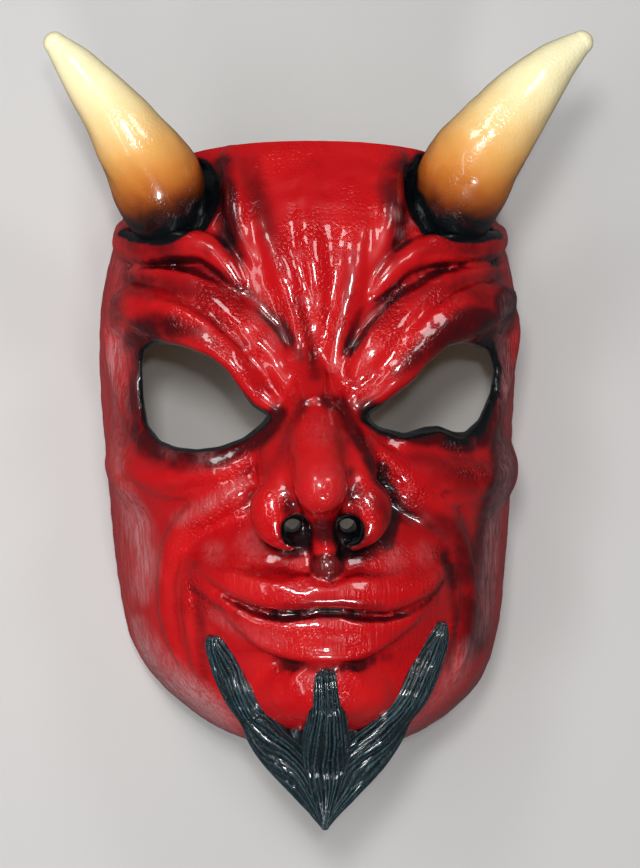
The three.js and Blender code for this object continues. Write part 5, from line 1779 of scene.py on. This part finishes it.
@dataclass(frozen=True)
class RedLatex:
    """Red latex paint under gloss varnish, with airbrushed black and painted shade in the creases and a
    painted pink sheen on the sides.

    Scales and stretches here and below are marks per metre.
    """

    red: Colour = (0.44, 0.0025, 0.0050, 1.0)
    bright: Colour = (0.56, 0.0090, 0.0095, 1.0)
    # deep red of the painted shade in creases
    deep: Colour = (0.060, 0.0010, 0.0025, 1.0)
    black: Colour = (0.0030, 0.0036, 0.0048, 1.0)
    # pink of the painted sheen and of the milk-white varnish
    sheen_and_milky_tone: Colour = (0.56, 0.230, 0.240, 1.0)
    bead_scale: float = 640.0
    comb_stretch: Vector = (760.0, 62.0, 760.0)
    wrinkle_stretch: Vector = (720.0, 90.0, 90.0)
    coat_gloss: float = 0.07

    def material(self, effects: Effects) -> Material:
        """Build the material.

        Args:
            effects: The shared node groups.

        Returns:
            The material.
        """
        material, graph, surface = new_material("red latex")
        where = graph.position()
        varnish = effects.varnished(graph, where, self.bead_scale)
        streaks = effects.combed(graph, where, self.comb_stretch)
        side = graph.stored("side")
        glossy = graph.ranged(varnish["Patches"], 0, 1, 0.34, 0.20)
        beads = graph.bump(graph.times(varnish["Height"], graph.stored("beaded")), 0.75, 0.0010)
        combed = graph.bump(graph.times(streaks, side), 0.55, 0.0009, beads)
        graph.fill(surface, {
            "Base Color": self.colour(graph, where, streaks),
            "Roughness": graph.plus(glossy, graph.times(side, 0.14)),
            "Normal": graph.bump(self.lip_wrinkles(graph, where), 0.45, 0.0008, combed),
            "Coat Weight": graph.ranged(side, 0.0, 1.0, 0.75, 0.25),
            "Specular IOR Level": 0.25,
            "Coat Roughness": self.coat_gloss,
        })
        return material

    def colour(self, graph: Graph, where: Socket, streaks: Socket) -> Socket:
        """Mix the red with the painted shade of its creases, the painted sheen and milk-white haze, and the
        airbrushed black, into which the deepest painted shade runs.

        Args:
            graph: The material's graph.
            where: Position on the mask.
            streaks: The comb marks, which streak the painted sheen and milk-white haze.

        Returns:
            The colour.
        """
        mottle = graph.ranged(graph.noise(where, 46.0, 4.0, 0.5), 0.40, 0.68)
        colour = graph.mixed(graph.times(mottle, 0.55), self.red, self.bright)
        # painted shade in the creases, broken up by speckle
        speckle = graph.ranged(graph.noise(where, 120.0, 3.0), 0.25, 0.6, 0.75, 1.25)
        shade = graph.times(graph.stored("crease"), speckle)
        colour = graph.mixed(graph.ranged(shade, 0.0, 0.80), colour, self.deep)
        # painted sheen and milk-white haze, streaked by the comb marks
        cloudy = graph.ranged(graph.noise(where, 30.0, 3.0), 0.35, 0.62, 0.45, 1.0)
        milky_sheen_share = graph.times(graph.stored("sheen_and_milky"), graph.times(cloudy, 0.95))
        streaked = graph.plus(graph.times(streaks, 0.75), 0.25)
        colour = graph.mixed(graph.times(milky_sheen_share, streaked), colour, self.sheen_and_milky_tone)
        # the deepest painted shade runs into black, along with the airbrushed black paint
        shade_to_black = graph.times(graph.ranged(shade, 0.70, 1.30), 0.85)
        spread = graph.plus(graph.stored("black"), graph.times(shade_to_black, 0.8))
        return graph.mixed(graph.ranged(spread, 0.15, 0.85), colour, self.black)

    def lip_wrinkles(self, graph: Graph, where: Socket) -> Socket:
        """Draw the upright wrinkles of the lips and give their height."""
        drawn = graph.stretched(where, self.wrinkle_stretch)
        return graph.times(graph.noise(drawn, 1.0, 3.0, 0.8), graph.stored("lips"))


@dataclass(frozen=True)
class GoateeGloss:
    """Green-black gloss paint on the moulded beard, with painted shade darkening the grooves between its
    strands so that the crests show lighter.
    """

    crest: Colour = (0.0360, 0.1050, 0.1350, 1.0)
    groove_shade: Colour = (0.0011, 0.0033, 0.0044, 1.0)
    bead_scale: float = 1100.0
    comb_stretch: Vector = (1300.0, 200.0, 1300.0)

    def material(self, effects: Effects) -> Material:
        """Build the material.

        Args:
            effects: The shared node groups.

        Returns:
            The material.
        """
        material, graph, surface = new_material("goatee gloss")
        where = graph.position()
        varnish = effects.varnished(graph, where, self.bead_scale)
        streaks = effects.combed(graph, where, self.comb_stretch)
        # painted shade in the grooves of the strands, lighter on the crests
        raised = graph.ranged(graph.add("NewGeometry").outputs["Pointiness"], 0.47, 0.57)
        share = graph.times(raised, graph.plus(graph.times(streaks, 0.6), 0.4))
        beads = graph.bump(varnish["Height"], 0.9, 0.0009)
        graph.fill(surface, {
            "Base Color": graph.mixed(share, self.groove_shade, self.crest),
            "Roughness": graph.ranged(graph.noise(where, 150.0, 3.0), 0.3, 0.7, 0.14, 0.26),
            "Normal": graph.bump(streaks, 0.8, 0.0007, beads),
            "Coat Weight": 0.9,
            "Coat Roughness": 0.06,
        })
        return material


@dataclass(frozen=True)
class BareLatex:
    """Unpainted cast latex, as inside and on the cut rims, darker where it has aged."""

    pale: Colour = (0.60, 0.42, 0.24, 1.0)
    aged: Colour = (0.42, 0.26, 0.12, 1.0)
    pour_stretch: Vector = (90.0, 260.0, 90.0)

    def material(self) -> Material:
        """Build the material, with pour rings and fine grain.

        Returns:
            The material.
        """
        material, graph, surface = new_material("bare latex")
        where = graph.position()
        clouds = graph.noise(where, 38.0, 5.0, 0.6)
        rings = graph.noise(graph.stretched(where, self.pour_stretch), 1.0, 3.0, 1.2)
        grain = graph.noise(where, 900.0, 3.0)
        graph.fill(surface, {
            "Base Color": graph.mixed(graph.ranged(clouds, 0.35, 0.7), self.pale, self.aged),
            "Roughness": graph.ranged(rings, 0.3, 0.7, 0.42, 0.62),
            "Normal": graph.bump(graph.plus(rings, graph.times(grain, 0.35)), 0.5, 0.0008),
        })
        return material


@dataclass(frozen=True)
class HornGloss:
    """Horn paint: cream at the tip, through orange and brown, to green-black at the root.

    Attributes:
        tones: Share of the way to the tip, and the colour there.
        root: Colour of the sprayed foot.
    """

    tones: tuple[tuple[float, Vector], ...] = (
        (0.10, (0.004, 0.006, 0.007)), (0.135, (0.060, 0.013, 0.004)), (0.18, (0.200, 0.040, 0.006)),
        (0.25, (0.390, 0.105, 0.014)), (0.33, (0.570, 0.205, 0.035)), (0.45, (0.730, 0.370, 0.100)),
        (0.60, (0.860, 0.610, 0.270)), (0.80, (0.920, 0.800, 0.460)), (1.00, (0.930, 0.850, 0.540)),
    )
    root: Colour = (0.003, 0.0055, 0.0065, 1.0)
    bead_scale: float = 620.0

    def material(self, effects: Effects) -> Material:
        """Build the material.

        Args:
            effects: The shared node groups.

        Returns:
            The material.
        """
        material, graph, surface = new_material("horn gloss")
        where = graph.position()
        varnish = effects.varnished(graph, where, self.bead_scale)
        foot = graph.stored("foot")
        speckle = graph.ranged(graph.noise(where, 420.0, 4.0), 0.52, 0.66)
        dabs = graph.times(speckle, graph.ranged(foot, 0.0, 0.6, 0.0, 0.45))
        dark = graph.math("MAXIMUM", graph.ranged(foot, 0.25, 0.85), dabs)
        graph.fill(surface, {
            "Base Color": graph.mixed(dark, self.shaded(graph, where), self.root),
            "Roughness": graph.ranged(varnish["Patches"], 0, 1, 0.30, 0.18),
            "Normal": graph.bump(varnish["Height"], 0.16, 0.0006),
            "Coat Weight": 0.6,
            "Coat Roughness": 0.08,
        })
        return material

    def shaded(self, graph: Graph, where: Socket) -> Socket:
        """Shade the horn from root to tip, with edges that wander a little.

        Args:
            graph: The material's graph.
            where: Position on the mask.

        Returns:
            The colour.
        """
        wander = graph.ranged(graph.noise(where, 70.0, 3.0, 0.4), 0.2, 0.8, -0.03, 0.03)
        ramp = graph.add("ValToRGB", {0: graph.plus(graph.stored("along"), wander)})
        stops = ramp.color_ramp.elements
        for place, _ in self.tones[1:-1]:
            stops.new(place)
        for stop, (place, tone) in zip(stops, self.tones):
            stop.position = place
            stop.color = (*tone, 1.0)
        return ramp.outputs[0]


@dataclass(frozen=True)
class SoftBox:
    """One soft studio light.

    Attributes:
        name: Its name.
        place: Where it hangs, in metres.
        width: Its size along one side.
        height: Its size along the other.
        watts: Its power.
        aim: The point it shines at.
        mirrored: False keeps a wide light out of the gloss, as a grid over it does.
    """

    name: str
    place: Vector
    width: float
    height: float
    watts: float
    aim: Vector = (0.0, 0.0, 0.07)
    mirrored: bool = True


@dataclass
class Studio:
    """The pale floor, soft lights and camera.

    Attributes:
        camera_place: Where the camera hangs over the mask, in metres.
        camera_aim: The point it looks at.
        view_height: Its upright angle of view, in degrees.
        sensor: Height of its sensor, in millimetres.
        nearest: Nearest distance that it sees.
        floor_half: Half the floor's width.
        floor_gap: How far the floor lies under the rim.
        floor_tone: Its colour.
        floor_roughness: Its roughness.
        world_tone: Colour of the weak light from all round.
        world_strength: Its strength.
        boxes: The lights.
    """

    camera_place: Vector = (-0.0278, -0.0015, 0.7044)
    camera_aim: Vector = (0.0003, -0.0015, 0.085)
    view_height: float = 26.27
    sensor: float = 24.0
    nearest: float = 0.01
    floor_half: float = 2.5
    floor_gap: float = 0.0004
    floor_tone: Colour = (0.56, 0.55, 0.54, 1.0)
    floor_roughness: float = 0.85
    world_tone: Colour = (0.80, 0.85, 0.90, 1.0)
    world_strength: float = 0.07
    boxes: tuple[SoftBox, ...] = (
        SoftBox("key", (-0.08, 0.16, 0.84), 0.11, 0.11, 2.5),
        SoftBox("flash", (-0.01, 0.06, 0.84), 0.03, 0.03, 0.8),
        SoftBox("wide", (-0.26, 0.10, 0.78), 0.50, 0.50, 1.1, mirrored=False),
        SoftBox("strip", (-0.34, -0.04, 0.62), 0.04, 0.40, 0.35),
        SoftBox("left umbrella", (-0.26, 0.42, 0.62), 0.16, 0.16, 1.0),
        SoftBox("right umbrella", (0.25, 0.36, 0.62), 0.16, 0.16, 0.8),
        SoftBox("low", (0.08, -0.48, 0.62), 0.11, 0.08, 1.4),
        SoftBox("left side", (-0.62, -0.50, 0.36), 0.30, 0.60, 1.6, mirrored=False),
    )

    @staticmethod
    def aimed(made: Body, place: Sequence[float], aim: Sequence[float]) -> None:
        """Place an object and turn it to look at a point, with +Y of the frame upward.

        Args:
            made: A camera or a light.
            place: Where it goes.
            aim: The point that it looks at.
        """
        back = np.array(place, float) - np.array(aim, float)
        back /= np.linalg.norm(back)
        right = np.cross((0.0, 1.0, 0.0), back)
        right /= np.linalg.norm(right)
        matrix = np.eye(4)
        matrix[:3] = np.stack((right, np.cross(back, right), back, place), 1)
        made.matrix_world = Matrix(matrix.tolist())

    def lay_floor(self) -> None:
        """Lay the floor just under the rim and keep it out of the gloss."""
        half, low = self.floor_half, -self.floor_gap
        mesh = bpy.data.meshes.new("floor")
        corners = [(-half, -half, low), (half, -half, low), (half, half, low), (-half, half, low)]
        mesh.from_pydata(corners, [], [(0, 1, 2, 3)])
        material, graph, surface = new_material("pale floor")
        graph.fill(surface, {"Base Color": self.floor_tone, "Roughness": self.floor_roughness})
        mesh.materials.append(material)
        floor = linked("floor", mesh)
        floor.visible_glossy = False

    def hang_light(self, box: SoftBox) -> None:
        """Hang one light.

        Args:
            box: The light.
        """
        light = bpy.data.lights.new(box.name, "AREA")
        light.shape = "RECTANGLE"
        light.size, light.size_y, light.energy = box.width, box.height, box.watts
        lamp = linked(box.name, light)
        lamp.visible_glossy = box.mirrored
        self.aimed(lamp, box.place, box.aim)

    def set_world(self) -> None:
        """Set the weak light from all round."""
        world = bpy.data.worlds.new("studio")
        bpy.context.scene.world = world
        world.use_nodes = True
        graph = Graph(world.node_tree)
        background = world.node_tree.nodes["Background"]
        graph.fill(background, {"Color": self.world_tone, "Strength": self.world_strength})

    def set_camera(self) -> None:
        """Hang the camera over the face."""
        scene = bpy.context.scene
        camera = bpy.data.cameras.new("front view")
        camera.sensor_fit = "VERTICAL"
        camera.sensor_height = self.sensor
        camera.lens = self.sensor / 2 / math.tan(math.radians(self.view_height) / 2)
        camera.clip_start = self.nearest
        scene.camera = linked("front view", camera)
        self.aimed(scene.camera, self.camera_place, self.camera_aim)
        scene.view_settings.view_transform = "Standard"

    def build(self) -> None:
        """Set up the floor, the lights, the world and the camera."""
        self.lay_floor()
        for box in self.boxes:
            self.hang_light(box)
        self.set_world()
        self.set_camera()


def main() -> None:
    """Build and dress the mask, then the studio round it."""
    logging.basicConfig(level=logging.INFO, format="%(name)s: %(message)s")
    effects = Effects(varnish_group(), comb_group())
    clay = FaceClay()
    coats = [RedLatex().material(effects), GoateeGloss().material(effects), BareLatex().material()]
    shell = FaceShell(clay, coats)
    face, outside = shell.build()
    shell.dress(face)
    horn_coat = HornGloss().material(effects)
    for side in Side:
        horn = Horn(side, clay)
        horn.dress(horn.build(outside, horn_coat))
    MeshCraft.removed(outside)
    Studio().build()


if __name__ == "__main__":
    main()
